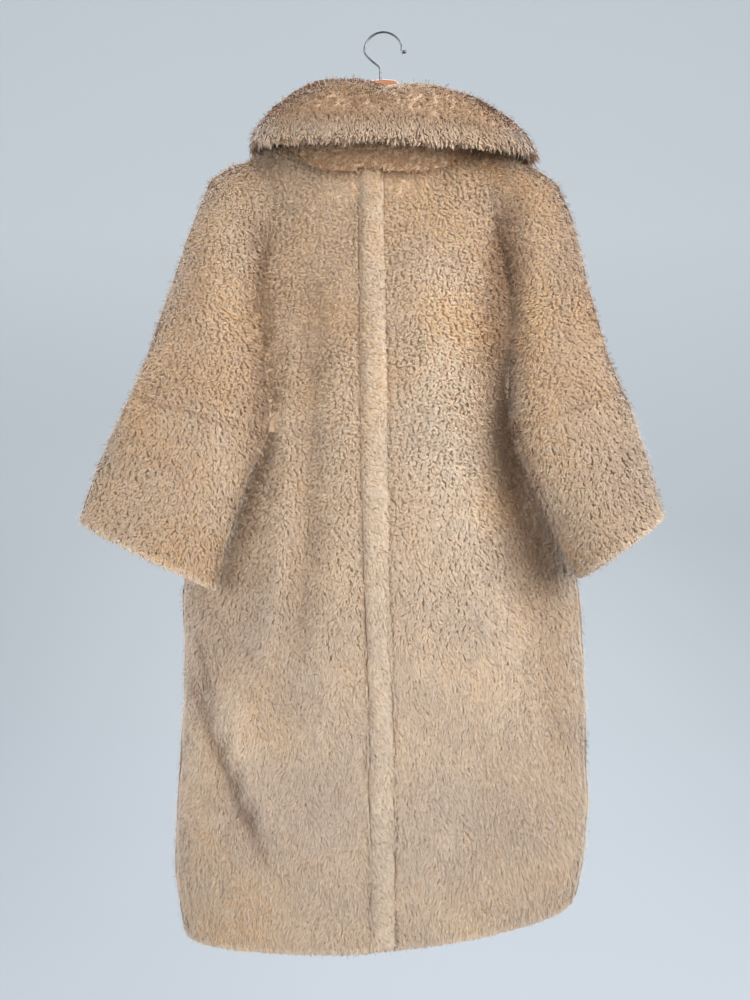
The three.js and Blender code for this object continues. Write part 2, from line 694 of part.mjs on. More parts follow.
// The collar is cut clear of the body it lies on, and flush where it is sewn to the neck
const nearNeck = boxBetween(
  new THREE.Vector3(-neckHalfWidth - 10, -80, neckFrontZ - 24),
  new THREE.Vector3(neckHalfWidth + 10, 72, roomAbove),
);
const neckSide = coatBody(collarClear, touchGap).intersect(nearNeck);
const belowNeck = boxBetween(
  new THREE.Vector3(-roomAside, -roomDeep, roomBelow),
  new THREE.Vector3(roomAside, 0, neckBackZ + touchGap),
);
const keepClear = coatBody(touchGap).add(neckSide).add(stripRoom.intersect(belowNeck));
addPiece('collar_top', collarLayer(true).subtract(keepClear), fur);
addPiece('collar_under', collarLayer(false).subtract(keepClear), fur);

addPiece('hanger_wood', hangerWood(0).subtract(hangerBore()), wood);
addPiece('hanger_hook', hangerHook(), steel);

export default coat;
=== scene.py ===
import math

import bpy
import numpy as np
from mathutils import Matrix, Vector
from mathutils.bvhtree import BVHTree


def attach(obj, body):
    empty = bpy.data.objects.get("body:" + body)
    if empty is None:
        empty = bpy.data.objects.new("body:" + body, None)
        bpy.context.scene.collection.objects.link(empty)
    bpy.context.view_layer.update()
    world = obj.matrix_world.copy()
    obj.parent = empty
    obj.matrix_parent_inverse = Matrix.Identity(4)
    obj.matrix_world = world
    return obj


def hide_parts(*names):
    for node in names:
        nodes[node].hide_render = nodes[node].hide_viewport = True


# A long faux fur coat on a wooden hanger, seen from behind.
# The tables are in millimetres and the pieces in metres. +X is the wearer's right,
# -Y is the back of the coat, +Z is up, and the origin is inside the top of the hook.

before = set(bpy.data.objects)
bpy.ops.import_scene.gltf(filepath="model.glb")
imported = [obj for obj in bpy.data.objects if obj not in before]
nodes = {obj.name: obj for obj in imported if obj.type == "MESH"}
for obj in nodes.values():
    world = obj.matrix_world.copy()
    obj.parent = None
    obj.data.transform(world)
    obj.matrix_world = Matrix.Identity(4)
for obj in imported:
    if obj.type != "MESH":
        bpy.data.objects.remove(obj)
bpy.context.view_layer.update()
MM = 0.001

# Cloth
WALL = 12.0
PILE = 5.5  # depth of the fur, from its tips down to the knitted backing
SHOULDER_DROP = 8.0
HEM_LIFT = 5.0
CUFF_LIFT = 4.0

# Body: level, left, right, back, front, y of the side folds, power
BODY = np.array([
    (-112, -64, 64, -36, 34, 0, 2.1),
    (-128, -96, 96, -42, 40, 0, 2.1),
    (-142, -128, 128, -47, 45, 0, 2.1),
    (-156, -160, 162, -51, 49, 0, 2.1),
    (-172, -178, 182, -55, 53, 0, 2.15),
    (-194, -184, 188, -60, 56, 0, 2.2),
    (-240, -187, 190, -67, 61, 3, 2.25),
    (-330, -200, 202, -75, 68, 16, 2.25),
    (-430, -216, 216, -82, 76, 34, 2.2),
    (-520, -233, 230, -88, 82, 42, 2.15),
    (-620, -250, 244, -93, 88, 40, 2.15),
    (-740, -266, 260, -98, 92, 30, 2.2),
    (-800, -261, 263, -101, 93, 24, 2.25),
    (-900, -264, 266, -104, 94, 17, 2.3),
    (-1000, -270, 266, -103, 92, 12, 2.3),
    (-1090, -272, 265, -98, 88, 9, 2.25),
    (-1172, -261, 251, -88, 80, 8, 2.2),
], float)
HEM_LOWEST = -1172.0
HEM_BENDS_BELOW = -900.0
HEM_LINE = np.array([
    (-280, -1163), (-230, -1171), (-75, -1172), (60, -1161),
    (141, -1149), (203, -1138), (244, -1126), (280, -1100),
], float)

# Folds: a line through three points, spread to each side. Rise is out from the coat.
BACK_FOLDS = [
    (-97, -300, -94, -550, -121, -815, 20, -8),
    (-120, -430, -127, -640, -150, -830, 20, 8),
    (-66, -380, -60, -620, -92, -960, 30, 5),
    (166, -230, 144, -480, 214, -780, 27, -14),
    (52, -250, 92, -560, 186, -930, 34, 9),
    (210, -730, 212, -840, 236, -960, 26, -8),
    (196, -560, 190, -608, 196, -655, 22, 12),
    (-246, -790, -214, -915, -150, -1060, 16, -9),
    (-212, -800, -186, -910, -122, -1050, 26, 7),
    (96, -900, 70, -1020, 60, -1200, 30, 5),
]
FRONT_FOLDS = [
    (-104, -330, -92, -600, -130, -900, 26, -9),
    (-150, -470, -146, -700, -176, -1000, 24, 7),
    (92, -340, 106, -640, 150, -940, 28, -10),
    (148, -500, 158, -720, 190, -980, 24, 7),
    (-60, -840, -74, -980, -66, -1200, 28, -7),
    (62, -800, 56, -1000, 76, -1200, 30, 6),
]
FOLD_FADE = 70.0

# Sleeves, from shoulder to cuff: both edges as seen from behind, y and depth
LEFT_SLEEVE = np.array([
    (-150, -166, -84, -214, 0, 70),
    (-209, -179, -116, -256, -4, 98),
    (-238, -229, -141, -296, -12, 112),
    (-262, -304, -150, -356, -23, 116),
    (-284, -372, -149, -422, -38, 112),
    (-303, -436, -141, -488, -62, 98),
    (-322, -486, -147, -538, -78, 92),
    (-343, -534, -170, -590, -83, 90),
    (-363, -583, -189, -652, -84, 92),
    (-379, -633, -206, -719, -84, 96),
], float)
RIGHT_SLEEVE = np.array([
    (152, -166, 84, -214, 0, 70),
    (210, -185, 122, -256, -4, 100),
    (238, -231, 150, -294, -12, 114),
    (256, -302, 162, -354, -22, 118),
    (269, -368, 161, -418, -36, 118),
    (284, -432, 155, -482, -62, 112),
    (302, -482, 161, -532, -86, 112),
    (318, -532, 180, -588, -92, 114),
    (333, -580, 206, -642, -94, 118),
    (345, -624, 237, -704, -94, 124),
], float)
SLEEVE_POWER = 2.2
ELBOW_ROW = 5.75

# Strip down the middle of the back: level, left, right
BACK_STRIP = np.array([
    (-186, -33, -1), (-400, -31, 3), (-620, -28, 6), (-775, -22, 9),
    (-930, -19, 13), (-1080, -18, 14), (-1200, -15, 14),
], float)
STRIP_RISE = 4.0

# Collar, from the middle of the back to the front end: seam, roll and outer edge
COLLAR = np.array([
    (0, -62, -193, 0, -86, -92, 0, -119, -166),
    (58, -57, -191, 62, -80, -93, 74, -113, -166),
    (98, -39, -174, 108, -53, -107, 136, -86, -160),
    (116, -4, -145, 131, -6, -120, 165, -16, -148),
    (104, 28, -156, 121, 42, -130, 156, 60, -176),
    (70, 50, -205, 92, 76, -178, 138, 84, -238),
    (34, 60, -244, 56, 86, -224, 108, 88, -296),
    (5, 66, -276, 18, 88, -268, 52, 86, -330),
], float)
COLLAR_MIDDLE_X = -8.0
COLLAR_RIGHT_REACH = 27.0
COLLAR_RIGHT_DROP = 14.0
COLLAR_ROLL_REACH = 4.0
COLLAR_ROLL_DROP = 9.0
NOTCH_SPREAD = 22.0
NOTCH_DEPTH = 8.0

# Soft patches of warmer and greyer pile on the back: x, z, spread across and down, amount
TONE_PATCHES = [
    (-154, -903, 48, 34, 0.2), (-234, -984, 26, 70, 0.16), (-190, -1124, 80, 48, 0.24),
    (-126, -1160, 56, 26, 0.16), (-83, -997, 52, 96, -0.2), (-167, -1023, 26, 44, -0.14),
    (-70, -1101, 44, 34, -0.1), (64, -1000, 60, 90, -0.12), (160, -1010, 60, 80, -0.22),
    (224, -925, 30, 30, 0.18), (222, -1075, 40, 40, 0.2), (120, -1090, 60, 30, 0.14),
    (30, -920, 22, 40, 0.1), (-10, -1010, 14, 60, 0.12), (-190, -330, 60, 90, 0.1),
    (60, -300, 70, 80, 0.08), (-60, -420, 60, 70, 0.05), (190, -690, 40, 60, 0.12),
    (190, -400, 24, 170, 0.16), (262, -412, 26, 56, 0.16), (290, -560, 50, 110, -0.28),
    (224, -330, 18, 80, -0.1),
]
# Broad lighter and darker places of painted highlight and painted shade, in the same form
PAINTED_LIGHT_PATCHES = [
    (73, -516, 60, 230, 0.3), (-60, -1000, 170, 200, 0.14), (110, -960, 140, 220, 0.16),
    (-100, -330, 120, 160, -0.08), (192, -400, 20, 170, 0.3), (200, -600, 16, 60, 0.2),
    (-193, -347, 24, 120, 0.2), (-200, -560, 24, 80, 0.15), (266, -500, 30, 160, 0.04),
    (-185, -900, 24, 55, 0.18), (-230, -930, 22, 50, 0.1), (120, -980, 90, 130, -0.14),
    (150, -240, 70, 110, -0.14), (240, -300, 50, 90, -0.12),
]

# Shaded creases, as the folds are written, with the darkness last
CREASES = [
    (165, -200, 149, -480, 215, -740, 16, -1.2),
    (-158, -220, -150, -440, -182, -700, 12, -0.8),
    (-262, -800, -198, -941, -128, -1090, 7, -1.2),
    (-244, -745, -229, -814, -205, -900, 5, -1.2),
]
CREASE_SHADE = 0.3


# Curves and fields

def read_table(table, at):
    """The columns after the key, on a smooth curve through the rows"""
    at = np.asarray(at, float)
    keys, values = table[:, 0], table[:, 1:]
    sign = 1.0 if keys[1] > keys[0] else -1.0
    i = np.searchsorted(sign * keys[1:-1], sign * at, side="left")
    slopes = np.empty_like(values)
    slopes[0] = (values[1] - values[0]) / (keys[1] - keys[0])
    slopes[-1] = (values[-1] - values[-2]) / (keys[-1] - keys[-2])
    slopes[1:-1] = (values[2:] - values[:-2]) / (keys[2:] - keys[:-2])[:, None]
    length = keys[i + 1] - keys[i]
    t = np.clip((at - keys[i]) / length, 0, 1)[..., None]
    s = t * t * (3 - 2 * t)
    leave = t * (1 - t) ** 2 * length[..., None] * slopes[i]
    arrive = t * t * (1 - t) * length[..., None] * slopes[i + 1]
    return values[i] * (1 - s) + values[i + 1] * s + leave - arrive


def numbered(table):
    return np.column_stack([np.arange(len(table)), table])


def smooth(value, low, high):
    t = np.clip((value - low) / (high - low), 0, 1)
    return t * t * (3 - 2 * t)


def unit(vectors):
    return vectors / np.maximum(np.linalg.norm(vectors, axis=-1, keepdims=True), 1e-9)


def signed_power(value, power):
    return np.sign(value) * np.abs(value) ** power


def wave_field(seed, wavelength, count=14):
    """A smooth random field over space with a spread of about one"""
    draw = np.random.default_rng(seed)
    waves = unit(draw.normal(size=(count, 3))) * 2 * math.pi / wavelength
    waves *= draw.uniform(0.6, 1.5, (count, 1))
    phases = draw.uniform(0, 2 * math.pi, count)

    def field(points):
        return np.sin(points @ waves.T + phases).sum(1) / math.sqrt(count / 2)

    return field


def fold_height(folds, x, z):
    height = np.zeros_like(x)
    for top_x, top_z, mid_x, mid_z, end_x, end_z, spread, rise in folds:
        a = (z - mid_z) * (z - end_z) / ((top_z - mid_z) * (top_z - end_z))
        b = (z - top_z) * (z - end_z) / ((mid_z - top_z) * (mid_z - end_z))
        c = (z - top_z) * (z - mid_z) / ((end_z - top_z) * (end_z - mid_z))
        line = a * top_x + b * mid_x + c * end_x
        fade = smooth(np.minimum(top_z - z, z - end_z) / FOLD_FADE, 0, 1)
        height += rise * fade * np.exp(-(((x - line) / spread) ** 2))
    return height


# Surfaces in millimetres

def painted(point, table):
    """Listed amounts, read on the back alone"""
    total = np.zeros(len(point))
    for x, z, across, down, amount in table:
        far = ((point[:, 0] - x) / across) ** 2 + ((point[:, 2] - z) / down) ** 2
        total += amount * np.exp(-far)
    return total * (point[:, 1] < 0)


def hem_drop(x, level):
    share = (level - HEM_BENDS_BELOW) / (HEM_LOWEST - HEM_BENDS_BELOW)
    hem = read_table(HEM_LINE, x)[..., 0]
    bent = HEM_BENDS_BELOW + share * (hem - HEM_BENDS_BELOW)
    return np.where(level > HEM_BENDS_BELOW, level, bent)


def body_depth(x, level, inset, front):
    left, right, back, ahead, side, power = np.moveaxis(read_table(BODY, level), -1, 0)
    left = left + inset
    right = right - inset
    away = np.minimum(np.abs(x - (left + right) / 2) / ((right - left) / 2), 1)
    bow = (1 - away ** power) ** (1 / power)
    if front:
        return side + (ahead - inset - side) * bow + fold_height(FRONT_FOLDS, x, level) * bow
    return side + (back + inset - side) * bow - fold_height(BACK_FOLDS, x, level) * bow


def body_point(turn, level, inset, front):
    """Turn goes from -pi/2 at the left side to pi/2 at the right"""
    row = read_table(BODY, level)
    left = row[..., 0] + inset
    right = row[..., 1] - inset
    x = (left + right) / 2 + (right - left) / 2 * np.sin(turn)
    drop = 0.0
    if inset > 0:
        drop = SHOULDER_DROP * (1 - smooth(-level, 150, 260))
    y = body_depth(x, level, inset, front)
    return np.stack([x, y, hem_drop(x, level) - drop], -1)


def sleeve_point(rows, place, angle, inset):
    row = read_table(numbered(rows), place)
    outer = np.stack([row[..., 0], row[..., 4], row[..., 1]], -1)
    inner = np.stack([row[..., 2], row[..., 4], row[..., 3]], -1)
    middle = (outer + inner) / 2
    half = np.linalg.norm(outer - inner, axis=-1) / 2 - inset
    across = unit(outer - middle)
    point = middle + across * (half * signed_power(np.cos(angle), 2 / SLEEVE_POWER))[..., None]
    point[..., 1] += (row[..., 5] / 2 - inset) * signed_power(np.sin(angle), 2 / SLEEVE_POWER)
    return point


def strip_point(share, level):
    row = read_table(BACK_STRIP, level)
    x = row[..., 0] + (row[..., 1] - row[..., 0]) * share
    rise = STRIP_RISE * (1 - (2 * share - 1) ** 4)
    return np.stack([x, body_depth(x, level, 0, False) - rise, hem_drop(x, level)], -1)


def collar_point(along, across):
    side = np.where(along < 0, -1.0, 1.0)
    place = np.abs(along) * (len(COLLAR) - 1)
    row = read_table(numbered(COLLAR), place)
    seam, roll, edge = row[..., 0:3].copy(), row[..., 3:6].copy(), row[..., 6:9].copy()
    for part in (seam, roll, edge):
        part[..., 0] *= side
    aside = np.minimum(place / 3, 1) * (side > 0)
    fade = 1 - smooth(place, 3, 6)
    edge[..., 0] += COLLAR_RIGHT_REACH * aside * np.maximum(fade, 0.2)
    roll[..., 0] += COLLAR_ROLL_REACH * aside * fade
    roll[..., 2] -= COLLAR_ROLL_DROP * aside * fade
    edge[..., 2] -= COLLAR_RIGHT_DROP * aside * fade
    shift = COLLAR_MIDDLE_X * (1 - smooth(place, 0, 3))
    upright = np.stack([seam[..., 0], seam[..., 1], roll[..., 2]], -1)
    stand = (seam * 0.4 + roll * 0.6) * 0.78 + upright * 0.22
    over = np.stack([edge[..., 0], edge[..., 1], roll[..., 2]], -1)
    fall = (roll * 0.64 + edge * 0.36) * 0.7 + over * 0.3
    point = through_points([seam, stand, roll, fall, edge], across)
    point[..., 0] += shift
    return point


def notch_drop(point):
    """The roll dips where the hanger's neck comes out"""
    near = np.exp(-((point[..., 0] - 2) / NOTCH_SPREAD) ** 2) * (point[..., 1] < 0)
    return NOTCH_DEPTH * near * smooth(point[..., 2], -125, -95)


def through_points(points, share):
    """Centripetal curve through a few points, with one share for each curve"""
    stops = np.stack([2 * points[0] - points[1], *points, 2 * points[-1] - points[-2]], 0)
    place = np.clip(share, 0, 1) * (len(points) - 1)
    i = np.minimum(place.astype(int), len(points) - 2)
    t = (place - i)[..., None]
    pick = np.arange(len(i))
    p0, p1, p2, p3 = (stops[i + k, pick] for k in range(4))
    d0, d1, d2 = (
        np.sqrt(np.linalg.norm(b - a, axis=-1))[..., None] for a, b in ((p0, p1), (p1, p2), (p2, p3))
    )
    leave = ((p1 - p0) / d0 - (p2 - p0) / (d0 + d1) + (p2 - p1) / d1) * d1
    arrive = ((p2 - p1) / d1 - (p3 - p1) / (d1 + d2) + (p3 - p2) / d2) * d1
    c2 = -3 * p1 + 3 * p2 - 2 * leave - arrive
    c3 = 2 * p1 - 2 * p2 + leave + arrive
    return p1 + leave * t + c2 * t ** 2 + c3 * t ** 3


# Patches: a surface with two parameters, its outward side and how its fur lies

def normals_of(surface, u, v, outward, du, dv):
    across = surface(u + du, v) - surface(u - du, v)
    along = surface(u, v + dv) - surface(u, v - dv)
    normal = unit(np.cross(across, along))
    return normal * np.where((normal * outward).sum(-1) < 0, -1.0, 1.0)[..., None]


def spread_over(surface, u_low, u_high, v_low, v_high, spacing, draw, v_scale):
    """Jittered rows of points, evenly spaced in length. v_scale is millimetres for one of v."""
    us, vs = [], []
    fine = np.linspace(u_low, u_high, 300)
    rows = max(int(abs(v_high - v_low) * v_scale / spacing), 1)
    for i in range(rows):
        v = v_low + (v_high - v_low) * (i + 0.5) / rows
        line = surface(fine, np.full_like(fine, v))
        length = np.concatenate([[0], np.cumsum(np.linalg.norm(np.diff(line, axis=0), axis=1))])
        count = max(int(length[-1] / spacing), 1)
        at = (np.arange(count) + 0.5 + draw.uniform(-0.48, 0.48, count)) * length[-1] / count
        us.append(np.interp(at, length, fine))
        vs.append(v + draw.uniform(-0.48, 0.48, count) * (v_high - v_low) / rows)
    return np.concatenate(us), np.concatenate(vs)


def downhill(normal):
    down = np.zeros_like(normal)
    down[:, 2] = -1.0
    down[:, 0] = np.sign(normal[:, 0]) * 0.02
    return unit(down - normal * (down * normal).sum(1)[:, None])


def patch_of(point, normal, nap, width, **more):
    """A patch of fur: more may set fold, curly, room to the free edge, groove, thin, tan and light; fold, groove and
    light paint shade and highlights into the pile
    """
    usual = {"fold": 0.0, "curly": 0.5, "room": 999.0, "over": 2.0, "groove": 0.0, "thin": 1.0, "tan": 0.0,
             "long": 1.0, "sink": 1.0, "back": 0.0, "low": 0.0, "light": 0.0}
    patch = {"point": point, "normal": normal, "nap": nap}
    for key, value in {**usual, "width": width, **more}.items():
        patch[key] = np.broadcast_to(np.asarray(value, float), (len(point),)).copy()
    return patch


def body_patch(front, level_low, level_high, v_scale, spacing, width, draw):
    def surface(turn, level):
        return body_point(turn, level, 0, front)

    turn, level = spread_over(surface, -1.57, 1.57, level_high, level_low, spacing, draw, v_scale)
    point = surface(turn, level)
    middle = np.zeros_like(point)
    middle[:, 0] = point[:, 0] * 0.75
    middle[:, 1] = read_table(BODY, level)[:, 4]
    middle[:, 2] = point[:, 2] - 30 * smooth(level, -200, -140)
    normal = normals_of(surface, turn, level, point - middle, 0.004, 0.5)
    folds = fold_height(FRONT_FOLDS if front else BACK_FOLDS, point[:, 0], level)
    curly = smooth(point[:, 2], -950, -380)
    # The groove beside the strip lowers the pile and paints shade into it
    groove = np.zeros(len(point))
    if not front:
        edges = read_table(BACK_STRIP, np.clip(level, -1200, -186))
        beside = np.minimum(np.abs(point[:, 0] - edges[:, 0]), np.abs(point[:, 0] - edges[:, 1]))
        groove = (1 - smooth(beside, 1, 5)) * (level < -180) * (0.4 + 0.6 * smooth(-level, 350, 700))
    room = point[:, 2] - read_table(HEM_LINE, point[:, 0])[:, 0]
    tan = 0.19 * smooth(point[:, 2], -800, -300) - 0.14 + painted(point, TONE_PATCHES)
    # The height of the folds paints shade into their valleys and a highlight onto their ridges
    return patch_of(point, normal, downhill(normal), width, fold=folds, curly=curly,
                    room=np.maximum(room, 0), groove=groove, tan=tan, sink=neck_room(point))


def sleeve_length(rows):
    middles = (rows[:, [0, 4, 1]] + rows[:, [2, 4, 3]]) / 2
    return np.linalg.norm(np.diff(middles, axis=0), axis=1).sum() / (len(rows) - 1)


def sleeve_patch(rows, spacing, width, draw):
    def surface(angle, place):
        return sleeve_point(rows, place, angle, 0)

    last = len(rows) - 1
    length = sleeve_length(rows)
    angle, place = spread_over(surface, 0, 2 * math.pi, 0, last, spacing, draw, length)
    point = surface(angle, place)
    centre = (surface(np.zeros_like(angle), place) + surface(np.full_like(angle, math.pi), place)) / 2
    normal = normals_of(surface, angle, place, point - centre, 0.02, 0.02)
    axis = surface(angle, np.minimum(place + 0.05, last)) - surface(angle, np.maximum(place - 0.05, 0))
    axis = unit(axis - normal * (axis * normal).sum(1)[:, None])
    nap = unit(axis * 0.7 + downhill(normal) * 0.45)
    # The elbow seam's groove lowers the pile and paints shade along it
    groove = 0.6 * (1 - smooth(np.abs(place - ELBOW_ROW) * length, 1, 7))
    # The sleeves' pile is painted a little darker, as shade
    return patch_of(point, normal, nap, width, curly=0.8 - 0.35 * place / last,
                    room=(last - place) * length, groove=groove, tan=0.02 + painted(point, TONE_PATCHES), light=-0.1)


def strip_patch(spacing, width, draw):
    share, level = spread_over(strip_point, 0.01, 0.99, -188, HEM_LOWEST, spacing, draw, 1)
    point = strip_point(share, level)
    outward = np.tile([0.0, -1.0, 0.0], (len(point), 1))
    normal = normals_of(strip_point, share, level, outward, 0.02, 0.5)
    normal[:, 0] += (share - 0.5) * 0.4
    normal = unit(normal)
    lower = smooth(-level, 420, 800)
    nap = np.stack([1.0 - 0.35 * lower, np.zeros_like(level), -0.35 - 0.9 * lower], -1)
    nap = unit(nap - normal * (nap * normal).sum(1)[:, None])
    beside = np.minimum(share, 1 - share) * 33
    room = point[:, 2] - read_table(HEM_LINE, point[:, 0])[:, 0]
    # The strip is given the height of a ridge, which paints it lighter as a highlight, and its groove paints shade
    # along its edges
    return patch_of(point, normal, nap, width, fold=14.0, curly=0.6 - 0.4 * lower,
                    room=np.maximum(room, 0), groove=(0.2 + 0.5 * lower) * (1 - smooth(beside, 0, 2)), tan=0.06 - 0.18 * lower,
                    sink=neck_room(point), back=0.45)


def collar_patch(on_top, spacing, width, draw):
    across, along = spread_over(
        lambda u, v: collar_point(v, u), 0.0, 1.0, -0.998, 0.998, spacing, draw, 390)
    before = collar_point(along - 0.004, across)
    after = collar_point(along + 0.004, across)
    low = collar_point(along, np.maximum(across - 0.004, 0))
    high = collar_point(along, np.minimum(across + 0.004, 1))
    out = unit(np.cross(high - low, after - before))
    side = 1.0 if on_top else -1.0
    thin = np.where(across > 0.8, np.sqrt(np.maximum(1 - ((across - 0.8) / 0.24) ** 2, 0)), 1)
    point = collar_point(along, across) + out * side * (0.15 + WALL * thin)[:, None]
    normal = out * side
    hanging = 0.4 + 2.6 * (1 - smooth(across, 0.3, 0.4)) * (not on_top)
    nap = unit(unit(high - low) + downhill(normal) * hanging[:, None])
    room = (1 - across) * 95
    late = smooth(across, 0.8, 0.92)
    # Under the collar, towards the seam, the pile is painted darker still, as shade
    below = -9.0 * (1 - smooth(across, 0.25, 0.45)) * (not on_top)
    on_right = smooth(point[:, 0], -8, 14) * (1 - smooth(point[:, 0], 90, 120))
    low = 0.7 * on_right * (1 - smooth(across, 0.55, 0.66)) * smooth(across, 0.2, 0.4) * (point[:, 1] < 0)
    # The collar's pile is painted darker, as shade
    return patch_of(point, normal, nap, width, curly=0.95 - 0.9 * late, room=room, over=6.0,
                    thin=thin, tan=0.26 - 0.3 * late, fold=6.0 * late - 8.0 + below, light=-0.32 - 0.04 * late,
                    long=1.0 + 0.5 * late, sink=smooth(across, 0.04, 0.2), low=low)


def fringe_patch(spacing, width, draw):
    """Longer strands round the collar's free edge"""
    count = int(1000 / spacing) * 20
    along = draw.uniform(-0.998, 0.998, count)
    across = draw.uniform(0.87, 1.0, count)
    before = collar_point(along - 0.004, across)
    after = collar_point(along + 0.004, across)
    down = unit(collar_point(along, across) - collar_point(along, across - 0.02))
    out = unit(np.cross(down, after - before))
    thin = np.sqrt(np.maximum(1 - ((across - 0.8) / 0.24) ** 2, 0))
    share = draw.uniform(-0.4, 0.9, count)
    point = collar_point(along, across) + out * (share * WALL * thin)[:, None]
    normal = unit(out * np.where(share < 0, 0.3, 1.0)[:, None] + down * 0.3)
    nap = unit(down - normal * (down * normal).sum(1)[:, None])
    nap = unit(nap + downhill(normal) * 0.3)
    # The fringe is painted darker, as shade
    return patch_of(point, normal, nap, width, curly=0.05, room=(1 - across) * 95, over=11.0 + 6 * smooth(np.abs(along), 0.2, 0.42),
                    thin=0.8, tan=-0.04, fold=-4.0, light=-0.36, long=1.5 + 0.6 * smooth(np.abs(along), 0.2, 0.42), sink=0.6)


def rim_patch(ring_of, down, spacing, width, draw):
    """The rounded lower edge: ring_of(angle, inset) is the free edge, closed from 0 to 2 pi"""
    patches = []
    fine = np.linspace(0, 2 * math.pi, 600)
    for inset, lean in ((1.0, 0.9), (3.5, 0.4), (6.5, 0.0), (9.5, -0.5)):
        line = ring_of(fine, inset)
        length = np.concatenate([[0], np.cumsum(np.linalg.norm(np.diff(line, axis=0), axis=1))])
        count = int(length[-1] / spacing)
        at = (np.arange(count) + 0.5 + draw.uniform(-0.48, 0.48, count)) * length[-1] / count
        angle = np.interp(at, length, fine)
        point = ring_of(angle, inset)
        tangent = unit(ring_of(angle + 0.01, inset) - ring_of(angle - 0.01, inset))
        outward = np.cross(tangent, down)
        centre = line.mean(0)
        outward *= np.where((outward * (point - centre)).sum(1) < 0, -1.0, 1.0)[:, None]
        normal = unit(outward * lean + down)
        nap = unit(outward - normal * (outward * normal).sum(1)[:, None]) * (1 if lean < 0.2 else -1)
        # The rounded edge is given the height of a ridge and little room, which paint it lighter, as a highlight
        patches.append(patch_of(point, normal, nap, width * 0.7, curly=0.3, room=3.0, over=6.5, tan=-0.12,
                                fold=8.0, long=1.0))
    return joined(patches)


def hem_ring(angle, inset):
    turn = math.pi / 2 - np.abs(((angle + math.pi / 2) % (2 * math.pi)) - math.pi)
    level = np.full_like(angle, HEM_LOWEST)
    back = body_point(turn, level, inset, False)
    ahead = body_point(turn, level, inset, True)
    return np.where((np.cos(angle) > 0)[:, None], back, ahead)


def kept(patch, mask):
    return {key: value[mask] for key, value in patch.items()}


def joined(patches):
    keys = set(patches[0])
    for patch in patches[1:]:
        keys &= set(patch)
    return {key: np.concatenate([patch[key] for patch in patches]) for key in keys}


# Which CAD node each point of a patch lies on

FUR_NODES = [
    "back_left", "back_right", "front_left", "front_right", "lower_sleeve_left", "lower_sleeve_right",
    "back_strip_upper", "back_strip_middle", "back_strip_lower", "collar_top", "collar_under",
]


def node_tree(names):
    corners, faces, owner = [], [], []
    for number, name in enumerate(names):
        mesh = nodes[name].data
        start = len(corners)
        corners.extend(v.co.copy() for v in mesh.vertices)
        for face in mesh.polygons:
            faces.append([start + i for i in face.vertices])
            owner.append(number)
    return BVHTree.FromPolygons(corners, faces), np.array(owner)


def owners_of(patch, names, reach):
    """The node under each point, which is moved onto that node's surface"""
    tree, owner = node_tree(names)
    found = np.full(len(patch["point"]), -1)
    for i, (point, normal) in enumerate(zip(patch["point"] * MM, patch["normal"])):
        point, normal = Vector(point), Vector(normal)
        place, face_normal, face, _ = tree.find_nearest(point, reach * MM)
        if face is None or face_normal.dot(normal) < 0.1:
            place, face_normal, face, _ = tree.ray_cast(point + normal * reach * MM, -normal, 2 * reach * MM)
        if face is not None and face_normal.dot(normal) > 0.1:
            found[i] = owner[face]
            patch["point"][i] = np.array(place) / MM
    return found


# Skins: thin shells on the form of the solids, a pile's depth below their surface

def grid_tree(point_of, us, vs, closed):
    grid_u, grid_v = np.meshgrid(us, vs)
    points = point_of(grid_u.ravel(), grid_v.ravel()) * MM
    faces = []
    width = len(us)
    for r in range(len(vs) - 1):
        for k in range(width if closed else width - 1):
            n = (k + 1) % width
            faces.append((r * width + k, r * width + n, (r + 1) * width + n, (r + 1) * width + k))
    return BVHTree.FromPolygons([Vector(p) for p in points], faces)


def inner_trees():
    levels = np.linspace(BODY[0, 0], HEM_LOWEST, 180)
    turns = np.linspace(-math.pi / 2, math.pi / 2, 90)
    trees = []
    for front in (False, True):
        trees.append(grid_tree(
            lambda u, v, front=front: body_point(u, v, WALL, front), turns, levels, False))
    for rows in (LEFT_SLEEVE, RIGHT_SLEEVE):
        places = np.linspace(0, len(rows) - 1, 90)
        angles = np.linspace(0, 2 * math.pi, 72, endpoint=False)
        trees.append(grid_tree(
            lambda u, v, rows=rows: sleeve_point(rows, v, u, WALL), angles, places, True))
    return trees


COLLAR_GRID = (40, 160)
EDGE_BACK = 0.06


def collar_tree():
    across = np.linspace(0, 1, COLLAR_GRID[0])
    along = np.linspace(-0.998, 0.998, COLLAR_GRID[1])
    return grid_tree(lambda u, v: collar_point(v, u), across, along, False)


def neck_line(x, front):
    """Height of the neck's cut edge"""
    middle, power = (-276.0, 1.15) if front else (-190.0, 4.5)
    return middle + (-141.0 - middle) * np.minimum(np.abs(x) / 117.0, 1) ** power


def neck_room(point):
    """How far the backing lies under the pile: nothing at the neck's cut edge"""
    x = point[:, 0]
    below = np.where(point[:, 1] > 0, neck_line(x, True), neck_line(x, False)) - point[:, 2]
    return np.where(np.abs(x) < 122, smooth(below, 0, 16), 1.0)


